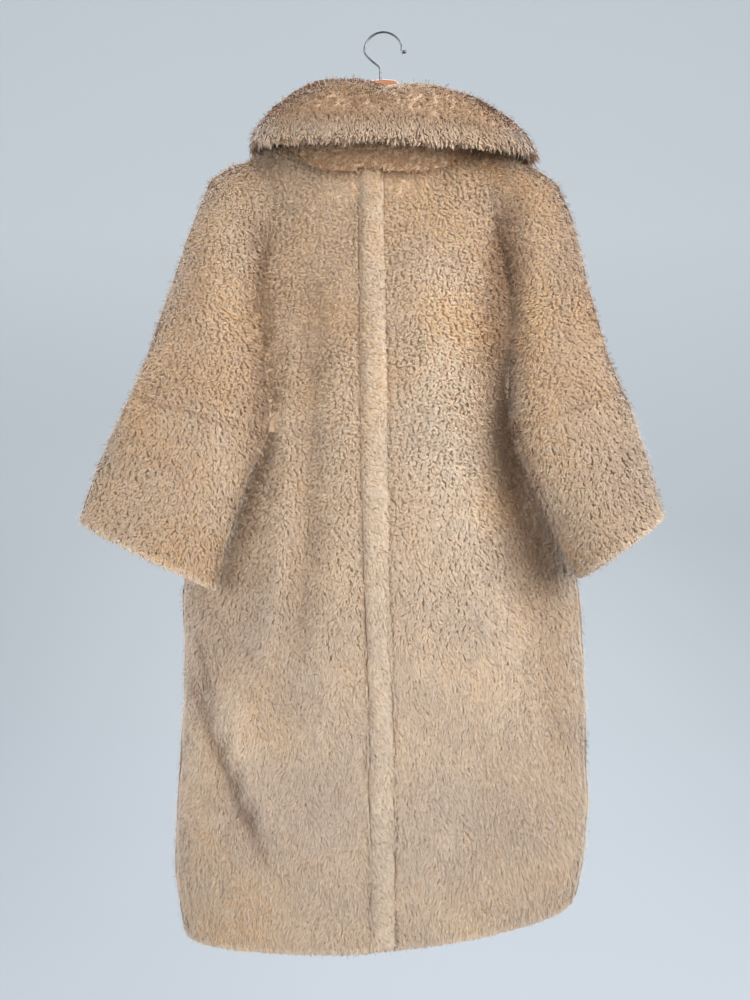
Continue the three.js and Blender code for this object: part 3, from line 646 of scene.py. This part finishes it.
def skin(name, trees):
    """A copy of a node's mesh, its outer face drawn in to leave room for the pile"""
    mesh = nodes[name].data.copy()
    mesh.name = "skin_" + name
    on_collar = name.startswith("collar")
    outer = np.zeros(len(mesh.vertices), bool)
    for number, vertex in enumerate(mesh.vertices):
        best, distance, face = None, 1e9, 0
        for tree in trees:
            place, _, index, far = tree.find_nearest(vertex.co)
            if place is not None and far < distance:
                best, distance, face = place, far, index
        outer[number] = on_collar or distance > 0.5 * WALL * MM
        if on_collar:
            row, column = divmod(face, COLLAR_GRID[0] - 1)
            across = (column + 0.5) / (COLLAR_GRID[0] - 1)
            along = -0.998 + 1.996 * (row + 0.5) / (COLLAR_GRID[1] - 1)
            room = float(smooth(across, 0.04, 0.2))
        else:
            room = float(neck_room(np.array(vertex.co)[None] / MM)[0])
        if distance > 1e-6:
            move = min(PILE * MM, distance * 2 / 3) * room
            vertex.co += (best - vertex.co) / distance * move
        if on_collar and across > 0.7:
            back = across - EDGE_BACK * float(smooth(across, 0.7, 1.0))
            ends = collar_point(np.array([along, along]), np.array([back, across]))
            vertex.co += Vector((ends[0] - ends[1]) * MM)
    mesh.materials.clear()
    mesh.materials.append(ground)
    mesh.materials.append(backing)
    for face in mesh.polygons:
        face.material_index = 0 if outer[list(face.vertices)].any() else 1
    if on_collar:
        for vertex in mesh.vertices:
            vertex.co.z -= MM * float(notch_drop(np.array(vertex.co) / MM))
    else:
        lift_edges(name, mesh)
    obj = bpy.data.objects.new("skin_" + name, mesh)
    bpy.context.scene.collection.objects.link(obj)
    mesh.shade_smooth()
    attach(obj, "root")
    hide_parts(name)
    return obj


def lift_edges(name, mesh):
    """The backing ends a little above the hem and cuffs, where only the pile hangs"""
    if name.startswith("lower_sleeve"):
        rows = LEFT_SLEEVE if name.endswith("left") else RIGHT_SLEEVE
        middle = (rows[:, [0, 4, 1]] + rows[:, [2, 4, 3]]) / 2
        axis = unit(middle[-1] - middle[-2])
        for vertex in mesh.vertices:
            short = (middle[-1] - np.array(vertex.co) / MM) @ axis
            move = CUFF_LIFT * (1 - smooth(short, 6, 40))
            vertex.co -= Vector(axis * move * MM)
        return
    for vertex in mesh.vertices:
        x, _, z = np.array(vertex.co) / MM
        above = z - read_table(HEM_LINE, x)[0]
        vertex.co.z += HEM_LIFT * MM * float(1 - smooth(above, 4, 40))


# Fur: ribbons that taper to a tip, gathered in locks

ANGLE_CURLY = wave_field(11, 9)
ANGLE_STRAIGHT = wave_field(12, 30)
SWIRL = wave_field(13, 110)
PATCH_TONE = wave_field(14, 120)
SMALL_TONE = wave_field(15, 22)
LENGTH_FIELD = wave_field(16, 45)
RELIEF = wave_field(17, 90)
WARP = [wave_field(18, 12), wave_field(19, 12), wave_field(20, 12)]
MIXING = wave_field(21, 45)
LOCK_SIZE = 4.2
GUARD_SHARE = 0.18
LIE_WEIGHT = 2.0


def lock_cells(points, size, seed):
    """Irregular cells: each point's centre, its numbers, and how far inside its cell it lies"""
    cell = np.floor(points / size).astype(np.int64)
    best = np.full(len(points), np.inf)
    second = np.full(len(points), np.inf)
    centre = np.zeros_like(points)
    number = np.zeros((len(points), 3))
    for dx in (-1, 0, 1):
        for dy in (-1, 0, 1):
            for dz in (-1, 0, 1):
                near = cell + [dx, dy, dz]
                key = (near[:, 0] * 73856093) ^ (near[:, 1] * 19349663) ^ (near[:, 2] * 83492791) ^ seed
                draws = np.stack([((key * m) % 1048573) / 1048573 for m in (9301, 49297, 233280)], -1)
                place = (near + draws) * size
                far = np.sqrt(((points - place) ** 2).sum(1))
                closer = far < best
                second = np.where(closer, best, np.minimum(second, far))
                best = np.where(closer, far, best)
                centre[closer] = place[closer]
                number[closer] = draws[closer]
    return centre, number, second - best


def locks_of(patch):
    """Short wavy locks above, longer upright ones below"""
    point = patch["point"]
    warped = point + 1.3 * np.stack([field(point) for field in WARP], -1)
    curly = np.clip(patch["curly"], 0, 1)
    centre, number, inside = lock_cells(warped, LOCK_SIZE, 5)
    tall = np.array([1.0, 1.0, 0.45])
    low_centre, low_number, low_inside = lock_cells(warped * tall, LOCK_SIZE * 0.72, 6)
    low = curly + 0.12 * MIXING(point) < 0.45
    centre[low] = low_centre[low] / tall
    number[low] = low_number[low]
    inside[low] = low_inside[low]
    return centre + point - warped, number, inside


def turned(vector, normal, angle):
    side = np.cross(normal, vector)
    return vector * np.cos(angle)[:, None] + side * np.sin(angle)[:, None]


def fur(name, patch, material, seed):
    draw = np.random.default_rng(seed)
    point, normal, curly = patch["point"], patch["normal"], np.clip(patch["curly"], 0, 1)
    count = len(point)
    centre, number, inside = locks_of(patch)
    to_centre = centre - point
    to_centre -= normal * (to_centre * normal).sum(1)[:, None]
    body = smooth(inside, 0, 1.4)

    # The way a lock lies is read at its centre, so that its strands agree
    angle = curly * 0.8 * ANGLE_CURLY(centre) + (1 - curly) * 0.2 * ANGLE_STRAIGHT(centre)
    angle += 0.2 * SWIRL(centre) + draw.normal(0, 0.12, count)
    bend = curly * (number[:, 0] - 0.5) * 2.0 + (1 - curly) * (number[:, 0] - 0.5) * 0.5
    length = (4.4 * curly + 8.0 * (1 - curly)) * patch["long"]
    length = length * (1 + 0.1 * np.clip(LENGTH_FIELD(point), -1.5, 1.5)) * draw.uniform(0.85, 1.15, count)
    guard = draw.uniform(0, 1, count) < GUARD_SHARE
    depth = PILE * patch["thin"]
    rise = depth * (0.9 + 0.1 * body) * draw.uniform(0.97, 1.03, count)
    rise = rise * (1 - 0.35 * patch["groove"]) * (1 - patch["low"]) + 0.7 * RELIEF(point)
    rise = np.where(guard, rise + draw.uniform(0.5, 6.5, count), rise)
    most = patch["room"] + patch["over"] * draw.uniform(-0.5, 1, count)
    length = np.minimum(np.where(guard, length * 1.3, length), np.maximum(most, 1.5))
    pull = (0.3 + 0.3 * number[:, 1]) * (0.5 + 0.5 * curly)

    low_way = turned(patch["nap"], normal, angle)
    high_way = turned(patch["nap"], normal, angle + bend)
    root = point - normal * (depth * patch["sink"])[:, None] - low_way * (length * patch["back"])[:, None]
    middle = root + low_way * (length * 0.45)[:, None] + normal * (rise * 0.9)[:, None]
    middle += to_centre * (pull * 0.5)[:, None]
    tip = root + low_way * (length * 0.45)[:, None] + high_way * (length * 0.55)[:, None]
    tip += normal * rise[:, None] + to_centre * pull[:, None]

    width = patch["width"] * draw.uniform(0.8, 1.2, count)
    width = np.where(guard, width * 0.26, width)
    roll = draw.normal(0, 0.2, count)
    ahead = unit(tip - root)
    side = unit(np.cross(ahead, normal))
    side = side * np.cos(roll)[:, None] + np.cross(ahead, side) * np.sin(roll)[:, None]
    half = side * (width / 2)[:, None]
    vertices = np.stack([root, middle - half, middle + half, tip], 1)

    # Valleys of the folds get painted shade and ridges a painted highlight
    valley_shade = np.clip(-patch["fold"] / 9, 0, 1)
    ridge_highlight = np.clip(patch["fold"] / 9, 0, 1.6)
    # A painted highlight near each free edge, which also greys the tone there
    edge_highlight = 1 - smooth(patch["room"], 3, 14)
    tone = 0.46 + 0.06 * PATCH_TONE(point) + 0.04 * SMALL_TONE(point) + patch["tan"] - 0.12 * edge_highlight
    # Painted shading: darker in the valleys of the folds, between locks and in grooves, lighter on ridges and near
    # free edges; guard hairs are drawn lighter
    light = 0.62 + 0.16 * ridge_highlight - 0.18 * valley_shade + 0.45 * edge_highlight - 0.08 * (1 - body) - 0.25 * patch["groove"]
    # Painted shade in the creases, and the patches of painted highlight and shade, on the back alone
    crease = fold_height(CREASES, point[:, 0], point[:, 2]) * (point[:, 1] < 0)
    light += patch["light"] + painted(point, PAINTED_LIGHT_PATCHES) + CREASE_SHADE * crease + draw.uniform(-0.04, 0.04, count) + np.where(guard, 0.3, 0.0)
    along = np.array([0, 0.6, 0.6, 1.0])
    colour = np.ones((count, 4, 4))
    colour[:, :, 0] = along
    colour[:, :, 1] = number[:, 2:]
    colour[:, :, 2] = np.clip(tone, 0, 1)[:, None]
    colour[:, :, 3] = np.clip(light, 0, 1)[:, None]

    # Each lock is shaded as a small dome
    lie = unit(normal - to_centre * 0.07 + draw.normal(0, 0.05, (count, 3)))
    lie = np.repeat(lie[:, None, :], 4, 1)
    return ribbon_mesh(name, vertices * MM, colour, lie, material)


def ribbon_mesh(name, vertices, colour, lie, material):
    count = len(vertices)
    start = np.arange(count)[:, None] * 4
    loops = (start + np.array([0, 2, 1, 1, 2, 3])).ravel()
    sizes = np.full(count * 2, 3)
    mesh = bpy.data.meshes.new(name)
    mesh.vertices.add(count * 4)
    mesh.vertices.foreach_set("co", vertices.astype(np.float32).ravel())
    mesh.loops.add(len(loops))
    mesh.loops.foreach_set("vertex_index", loops.astype(np.int32))
    mesh.polygons.add(len(sizes))
    starts = np.concatenate([[0], np.cumsum(sizes)[:-1]])
    mesh.polygons.foreach_set("loop_start", starts.astype(np.int32))
    mesh.update(calc_edges=True)
    mesh.shade_smooth()
    tones = mesh.attributes.new("fur_tone_and_shading", "FLOAT_COLOR", "POINT")
    tones.data.foreach_set("color", colour.astype(np.float32).ravel())
    lies = mesh.attributes.new("fur_lie", "FLOAT_VECTOR", "POINT")
    lies.data.foreach_set("vector", lie.astype(np.float32).ravel())
    mesh.materials.append(material)
    obj = bpy.data.objects.new(name, mesh)
    bpy.context.scene.collection.objects.link(obj)
    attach(obj, "root")
    return obj


# Materials

def new_material(name):
    material = bpy.data.materials.new(name)
    material.use_nodes = True
    tree = material.node_tree
    shader = tree.nodes["Principled BSDF"]
    return material, tree, shader


def link(tree, source, target):
    tree.links.new(source, target)


def math_node(tree, operation, a, b=None, c=None):
    node = tree.nodes.new("ShaderNodeMath")
    node.operation = operation
    for socket, value in zip(node.inputs, (a, b, c)):
        if value is None:
            continue
        if isinstance(value, (int, float)):
            socket.default_value = value
        else:
            link(tree, value, socket)
    return node.outputs[0]


def vector_node(tree, operation, a, b=None):
    node = tree.nodes.new("ShaderNodeVectorMath")
    node.operation = operation
    link(tree, a, node.inputs[0])
    if b is not None:
        link(tree, b, node.inputs[1])
    return node


def mix_node(tree, factor, a, b, blend="MIX"):
    node = tree.nodes.new("ShaderNodeMix")
    node.data_type = "RGBA"
    node.blend_type = blend
    for name, value in (("Factor_Float", factor), ("A_Color", a), ("B_Color", b)):
        socket = next(s for s in node.inputs if s.identifier == name)
        if isinstance(value, (int, float)):
            socket.default_value = value
        elif isinstance(value, tuple):
            socket.default_value = (*value, 1.0)
        else:
            link(tree, value, socket)
    return next(s for s in node.outputs if s.identifier == "Result_Color")


def ramp_node(tree, factor, stops):
    node = tree.nodes.new("ShaderNodeValToRGB")
    ramp = node.color_ramp
    while len(ramp.elements) < len(stops):
        ramp.elements.new(0.5)
    for element, (place, colour) in zip(ramp.elements, stops):
        element.position = place
        element.color = (*colour, 1.0)
    link(tree, factor, node.inputs["Fac"])
    return node.outputs["Color"]


def noise_node(tree, scale, detail=3.0, vector=None, rough=0.55):
    node = tree.nodes.new("ShaderNodeTexNoise")
    node.inputs["Scale"].default_value = scale
    node.inputs["Detail"].default_value = detail
    node.inputs["Roughness"].default_value = rough
    if vector is not None:
        link(tree, vector, node.inputs["Vector"])
    return node.outputs["Fac"]


def object_coordinates(tree):
    return tree.nodes.new("ShaderNodeTexCoord").outputs["Object"]


def srgb(r, g, b):
    def one(v):
        v = v / 255
        return v / 12.92 if v <= 0.04045 else ((v + 0.055) / 1.055) ** 2.4

    return (one(r), one(g), one(b))


def fur_material():
    material, tree, shader = new_material("fur_pile")
    tones = tree.nodes.new("ShaderNodeAttribute")
    tones.attribute_name = "fur_tone_and_shading"
    parts = tree.nodes.new("ShaderNodeSeparateColor")
    link(tree, tones.outputs["Color"], parts.inputs["Color"])
    along, lock, patch = parts.outputs[0], parts.outputs[1], parts.outputs[2]
    light = tones.outputs["Alpha"]

    # Strands are darker at the root than at the tip: partly the pile's own colour, partly painted shade deep in the
    # pile
    lengthwise = ramp_node(tree, along, [
        (0.0, srgb(212, 184, 155)), (0.5, srgb(230, 207, 180)), (1.0, srgb(238, 220, 197)),
    ])
    locks = ramp_node(tree, lock, [
        (0.0, srgb(236, 230, 224)), (0.5, srgb(250, 246, 240)), (1.0, srgb(255, 253, 250)),
    ])
    colour = mix_node(tree, 1.0, lengthwise, locks, "MULTIPLY")
    tan = ramp_node(tree, patch, [
        (0.15, srgb(233, 231, 236)), (0.45, srgb(250, 246, 243)), (0.85, srgb(255, 232, 200)),
    ])
    colour = mix_node(tree, 1.0, colour, tan, "MULTIPLY")
    # The fourth channel darkens and lightens the colour: painted shade and painted highlights
    painted_shading = ramp_node(tree, light, [
        (0.0, srgb(168, 148, 136)), (0.6, srgb(231, 223, 216)), (1.0, srgb(255, 255, 255)),
    ])
    colour = mix_node(tree, 1.0, colour, painted_shading, "MULTIPLY")
    link(tree, colour, shader.inputs["Base Color"])
    shader.inputs["Roughness"].default_value = 0.62
    shader.inputs["Specular IOR Level"].default_value = 0.3
    shader.inputs["Subsurface Weight"].default_value = 0.42
    shader.inputs["Subsurface Radius"].default_value = (1.0, 0.75, 0.55)
    shader.inputs["Subsurface Scale"].default_value = 0.004
    shader.inputs["Sheen Weight"].default_value = 0.9
    shader.inputs["Sheen Roughness"].default_value = 0.4

    lie = tree.nodes.new("ShaderNodeAttribute")
    lie.attribute_name = "fur_lie"
    geometry = tree.nodes.new("ShaderNodeNewGeometry")
    agree = tree.nodes.new("ShaderNodeVectorMath")
    agree.operation = "DOT_PRODUCT"
    link(tree, geometry.outputs["Normal"], agree.inputs[0])
    link(tree, lie.outputs["Vector"], agree.inputs[1])
    against = math_node(tree, "MINIMUM", agree.outputs["Value"], 0.0)
    lift = math_node(tree, "MULTIPLY_ADD", against, -LIE_WEIGHT, 1.0)
    own = vector_node(tree, "SCALE", geometry.outputs["Normal"])
    link(tree, lift, own.inputs["Scale"])
    shared = vector_node(tree, "SCALE", lie.outputs["Vector"])
    shared.inputs["Scale"].default_value = LIE_WEIGHT
    both = vector_node(tree, "ADD", own.outputs["Vector"], shared.outputs["Vector"])
    level = vector_node(tree, "NORMALIZE", both.outputs["Vector"])
    link(tree, level.outputs["Vector"], shader.inputs["Normal"])
    return material


def ground_material():
    """The dense short undercoat between the locks"""
    material, tree, shader = new_material("fur_ground")
    place = object_coordinates(tree)
    fine = noise_node(tree, 420, 4.0, place, 0.6)
    wide = noise_node(tree, 9, 2.0, place)
    colour = mix_node(
        tree, 1.0,
        ramp_node(tree, fine, [(0.3, srgb(204, 176, 146)), (0.7, srgb(232, 208, 180))]),
        ramp_node(tree, wide, [(0.3, srgb(240, 236, 234)), (0.7, srgb(255, 246, 232))]), "MULTIPLY")
    link(tree, colour, shader.inputs["Base Color"])
    shader.inputs["Roughness"].default_value = 0.85
    shader.inputs["Sheen Weight"].default_value = 0.4
    bump = tree.nodes.new("ShaderNodeBump")
    bump.inputs["Strength"].default_value = 0.5
    bump.inputs["Distance"].default_value = 0.0015
    link(tree, fine, bump.inputs["Height"])
    link(tree, bump.outputs["Normal"], shader.inputs["Normal"])
    return material


def backing_material():
    """Fine knitted cloth that carries the pile, seen on the inside of the coat"""
    material, tree, shader = new_material("fur_backing")
    place = object_coordinates(tree)
    colour = ramp_node(tree, noise_node(tree, 26, 4.0, place), [
        (0.3, srgb(150, 122, 98)), (0.7, srgb(184, 156, 128)),
    ])
    link(tree, colour, shader.inputs["Base Color"])
    shader.inputs["Roughness"].default_value = 0.9
    shader.inputs["Sheen Weight"].default_value = 0.2
    knit = tree.nodes.new("ShaderNodeTexWave")
    knit.inputs["Scale"].default_value = 210
    knit.inputs["Distortion"].default_value = 2.5
    link(tree, place, knit.inputs["Vector"])
    rows = tree.nodes.new("ShaderNodeTexWave")
    rows.bands_direction = "Z"
    rows.inputs["Scale"].default_value = 240
    rows.inputs["Distortion"].default_value = 1.5
    link(tree, place, rows.inputs["Vector"])
    bump = tree.nodes.new("ShaderNodeBump")
    bump.inputs["Strength"].default_value = 0.35
    bump.inputs["Distance"].default_value = 0.0006
    link(tree, math_node(tree, "MULTIPLY", knit.outputs["Fac"], rows.outputs["Fac"]), bump.inputs["Height"])
    link(tree, bump.outputs["Normal"], shader.inputs["Normal"])
    return material


def wood_material():
    material, tree, shader = new_material("hanger_wood")
    place = object_coordinates(tree)
    stretch = tree.nodes.new("ShaderNodeMapping")
    stretch.inputs["Scale"].default_value = (9, 60, 130)
    link(tree, place, stretch.inputs["Vector"])
    grain = noise_node(tree, 1.0, 6.0, stretch.outputs["Vector"], 0.65)
    colour = ramp_node(tree, grain, [
        (0.3, srgb(104, 60, 34)), (0.5, srgb(150, 94, 56)), (0.7, srgb(176, 120, 78)),
    ])
    link(tree, colour, shader.inputs["Base Color"])
    shader.inputs["Roughness"].default_value = 0.38
    shader.inputs["Coat Weight"].default_value = 0.3
    shader.inputs["Coat Roughness"].default_value = 0.25
    bump = tree.nodes.new("ShaderNodeBump")
    bump.inputs["Strength"].default_value = 0.15
    bump.inputs["Distance"].default_value = 0.0004
    link(tree, grain, bump.inputs["Height"])
    link(tree, bump.outputs["Normal"], shader.inputs["Normal"])
    return material


def steel_material():
    material, tree, shader = new_material("hook_steel")
    place = object_coordinates(tree)
    wear = noise_node(tree, 340, 4.0, place)
    colour = ramp_node(tree, wear, [(0.3, srgb(70, 72, 76)), (0.7, srgb(112, 114, 118))])
    link(tree, colour, shader.inputs["Base Color"])
    shader.inputs["Metallic"].default_value = 1.0
    rough = tree.nodes.new("ShaderNodeMapRange")
    rough.inputs["To Min"].default_value = 0.24
    rough.inputs["To Max"].default_value = 0.42
    link(tree, wear, rough.inputs["Value"])
    link(tree, rough.outputs["Result"], shader.inputs["Roughness"])
    return material


def backdrop_material():
    material, tree, shader = new_material("backdrop")
    height = tree.nodes.new("ShaderNodeSeparateXYZ")
    link(tree, object_coordinates(tree), height.inputs[0])
    share = math_node(tree, "MULTIPLY_ADD", height.outputs["Z"], 0.2, 0.5)
    colour = ramp_node(tree, share, [(0.12, srgb(160, 166, 172)), (0.6, srgb(212, 217, 221))])
    link(tree, colour, shader.inputs["Base Color"])
    shader.inputs["Roughness"].default_value = 0.95
    return material


# Build

pile = fur_material()
ground = ground_material()
backing = backing_material()
coarser = 1.0
near_spacing, near_width = 1.63 * coarser, 2.1 * coarser
far_spacing, far_width = 2.5 * coarser, 3.0 * coarser

tube_trees = inner_trees()
middle_tree = [collar_tree()]
for node_name in FUR_NODES:
    skin(node_name, middle_tree if node_name.startswith("collar") else tube_trees)

draw = np.random.default_rng(3)
SHOULDER_END = -185.0
tubes = []
for front, spacing, width in ((False, near_spacing, near_width), (True, far_spacing, far_width)):
    tubes.append(body_patch(front, SHOULDER_END, BODY[0, 0], 2.6, spacing, width, draw))
    tubes.append(body_patch(front, HEM_LOWEST, SHOULDER_END, 1.03, spacing, width, draw))
for rows in (LEFT_SLEEVE, RIGHT_SLEEVE):
    patch = sleeve_patch(rows, near_spacing * 1.03, near_width, draw)
    hidden = patch["normal"][:, 1] > 0.25
    stay = ~hidden | (draw.uniform(0, 1, len(hidden)) < (near_spacing / far_spacing) ** 2)
    patch["width"][hidden] = far_width
    tubes.append(kept(patch, stay))
    axis = unit((rows[-1, [0, 4, 1]] + rows[-1, [2, 4, 3]]) - (rows[-2, [0, 4, 1]] + rows[-2, [2, 4, 3]]))
    tubes.append(rim_patch(
        lambda angle, inset, rows=rows: sleeve_point(rows, np.full_like(angle, len(rows) - 1.0), angle, inset),
        axis, near_spacing, near_width, draw))
tubes = joined(tubes)
hem_rim = rim_patch(hem_ring, np.array([0.0, 0.0, -1.0]), near_spacing * 0.8, near_width, draw)
strip = strip_patch(near_spacing, near_width, draw)
collar_over = collar_patch(True, near_spacing, near_width, draw)
collar_below = collar_patch(False, far_spacing * 1.1, far_width, draw)
fringe = fringe_patch(near_spacing, near_width, draw)

REACH = 9.0
furs = {name: [] for name in FUR_NODES}
groups = ((tubes, FUR_NODES[:6]), (strip, FUR_NODES[6:9]), (collar_over, ["collar_top"]),
          (collar_below, ["collar_under"]))
hem_owner = owners_of(hem_rim, FUR_NODES[:4] + FUR_NODES[8:9], REACH * 2)
hem_names = FUR_NODES[:4] + FUR_NODES[8:9]
for patch, names in groups:
    owner = owners_of(patch, names, REACH)
    for number, node_name in enumerate(names):
        own = kept(patch, owner == number)
        if node_name.startswith("collar"):
            own["point"][:, 2] -= notch_drop(own["point"])
        if node_name == "collar_top":
            own = joined([own, fringe])
        if node_name in hem_names:
            own = joined([own, kept(hem_rim, hem_owner == hem_names.index(node_name))])
        parts = [("", np.full(len(own["point"]), True))]
        if node_name.startswith("back_") and "strip" not in node_name:
            upper = own["point"][:, 2] > -520
            parts = [("_upper", upper), ("_lower", ~upper)]
        for ending, chosen in parts:
            piece = fur("fur_" + node_name + ending, kept(own, chosen), pile, 30 + len(furs[node_name]))
            furs[node_name].append(piece)

for name, made in (("hanger_wood", wood_material()), ("hanger_hook", steel_material())):
    mesh = nodes[name].data
    mesh.materials.clear()
    mesh.materials.append(made)


# Floor and backdrop in one sweep

def sweep():
    profile = [(-7.0, -1.8), (0.8, -1.8)]
    for i in range(1, 13):
        turn = math.pi / 2 * i / 12
        profile.append((0.8 + 3.6 * math.sin(turn), -1.8 + 3.6 * (1 - math.cos(turn))))
    profile.append((4.4, 5.5))
    mesh = bpy.data.meshes.new("backdrop")
    points = [(x, y, z) for y, z in profile for x in (-8.0, 8.0)]
    faces = [(2 * i, 2 * i + 1, 2 * i + 3, 2 * i + 2) for i in range(len(profile) - 1)]
    mesh.from_pydata(points, [], faces)
    mesh.shade_smooth()
    mesh.materials.append(backdrop_material())
    obj = bpy.data.objects.new("backdrop", mesh)
    bpy.context.scene.collection.objects.link(obj)


def area_light(name, place, aim, size, power, colour):
    data = bpy.data.lights.new(name, "AREA")
    data.shape = "DISK"
    data.size = size
    data.energy = power
    data.color = colour
    obj = bpy.data.objects.new(name, data)
    obj.location = place
    obj.rotation_euler = (Vector(aim) - Vector(place)).to_track_quat("-Z", "Y").to_euler()
    bpy.context.scene.collection.objects.link(obj)


sweep()
world = bpy.data.worlds.new("studio")
world.use_nodes = True
world.node_tree.nodes["Background"].inputs["Color"].default_value = (*srgb(222, 227, 232), 1.0)
world.node_tree.nodes["Background"].inputs["Strength"].default_value = 0.95
bpy.context.scene.world = world
area_light("key", (1.4, -2.0, 0.3), (0.0, 0.0, -0.7), 1.8, 74, (1.0, 0.98, 0.95))
area_light("fill", (-2.0, -2.2, -0.6), (0.0, 0.0, -0.7), 2.2, 34, (0.98, 0.98, 1.0))
area_light("back", (0.6, 1.8, 1.2), (0.0, 0.0, -0.5), 1.8, 36, (1.0, 1.0, 1.0))
area_light("top", (-0.5, 0.9, 1.5), (0.0, 0.0, -0.1), 1.4, 22, (1.0, 1.0, 1.0))
area_light("rim_left", (-2.1, 0.8, -0.3), (0.0, 0.0, -0.6), 1.2, 26, (1.0, 1.0, 1.0))
area_light("rim_right", (2.1, 0.8, -0.3), (0.0, 0.0, -0.6), 1.2, 22, (1.0, 1.0, 1.0))

camera = bpy.data.cameras.new("camera")
camera.sensor_width = 36.0
camera.lens = 52.6
viewpoint = bpy.data.objects.new("camera", camera)
viewpoint.location = (-0.011, -1.9, -0.607)
viewpoint.rotation_euler = (math.pi / 2, 0.0, 0.0)
bpy.context.scene.collection.objects.link(viewpoint)
bpy.context.scene.camera = viewpoint
bpy.context.scene.view_settings.view_transform = "Standard"
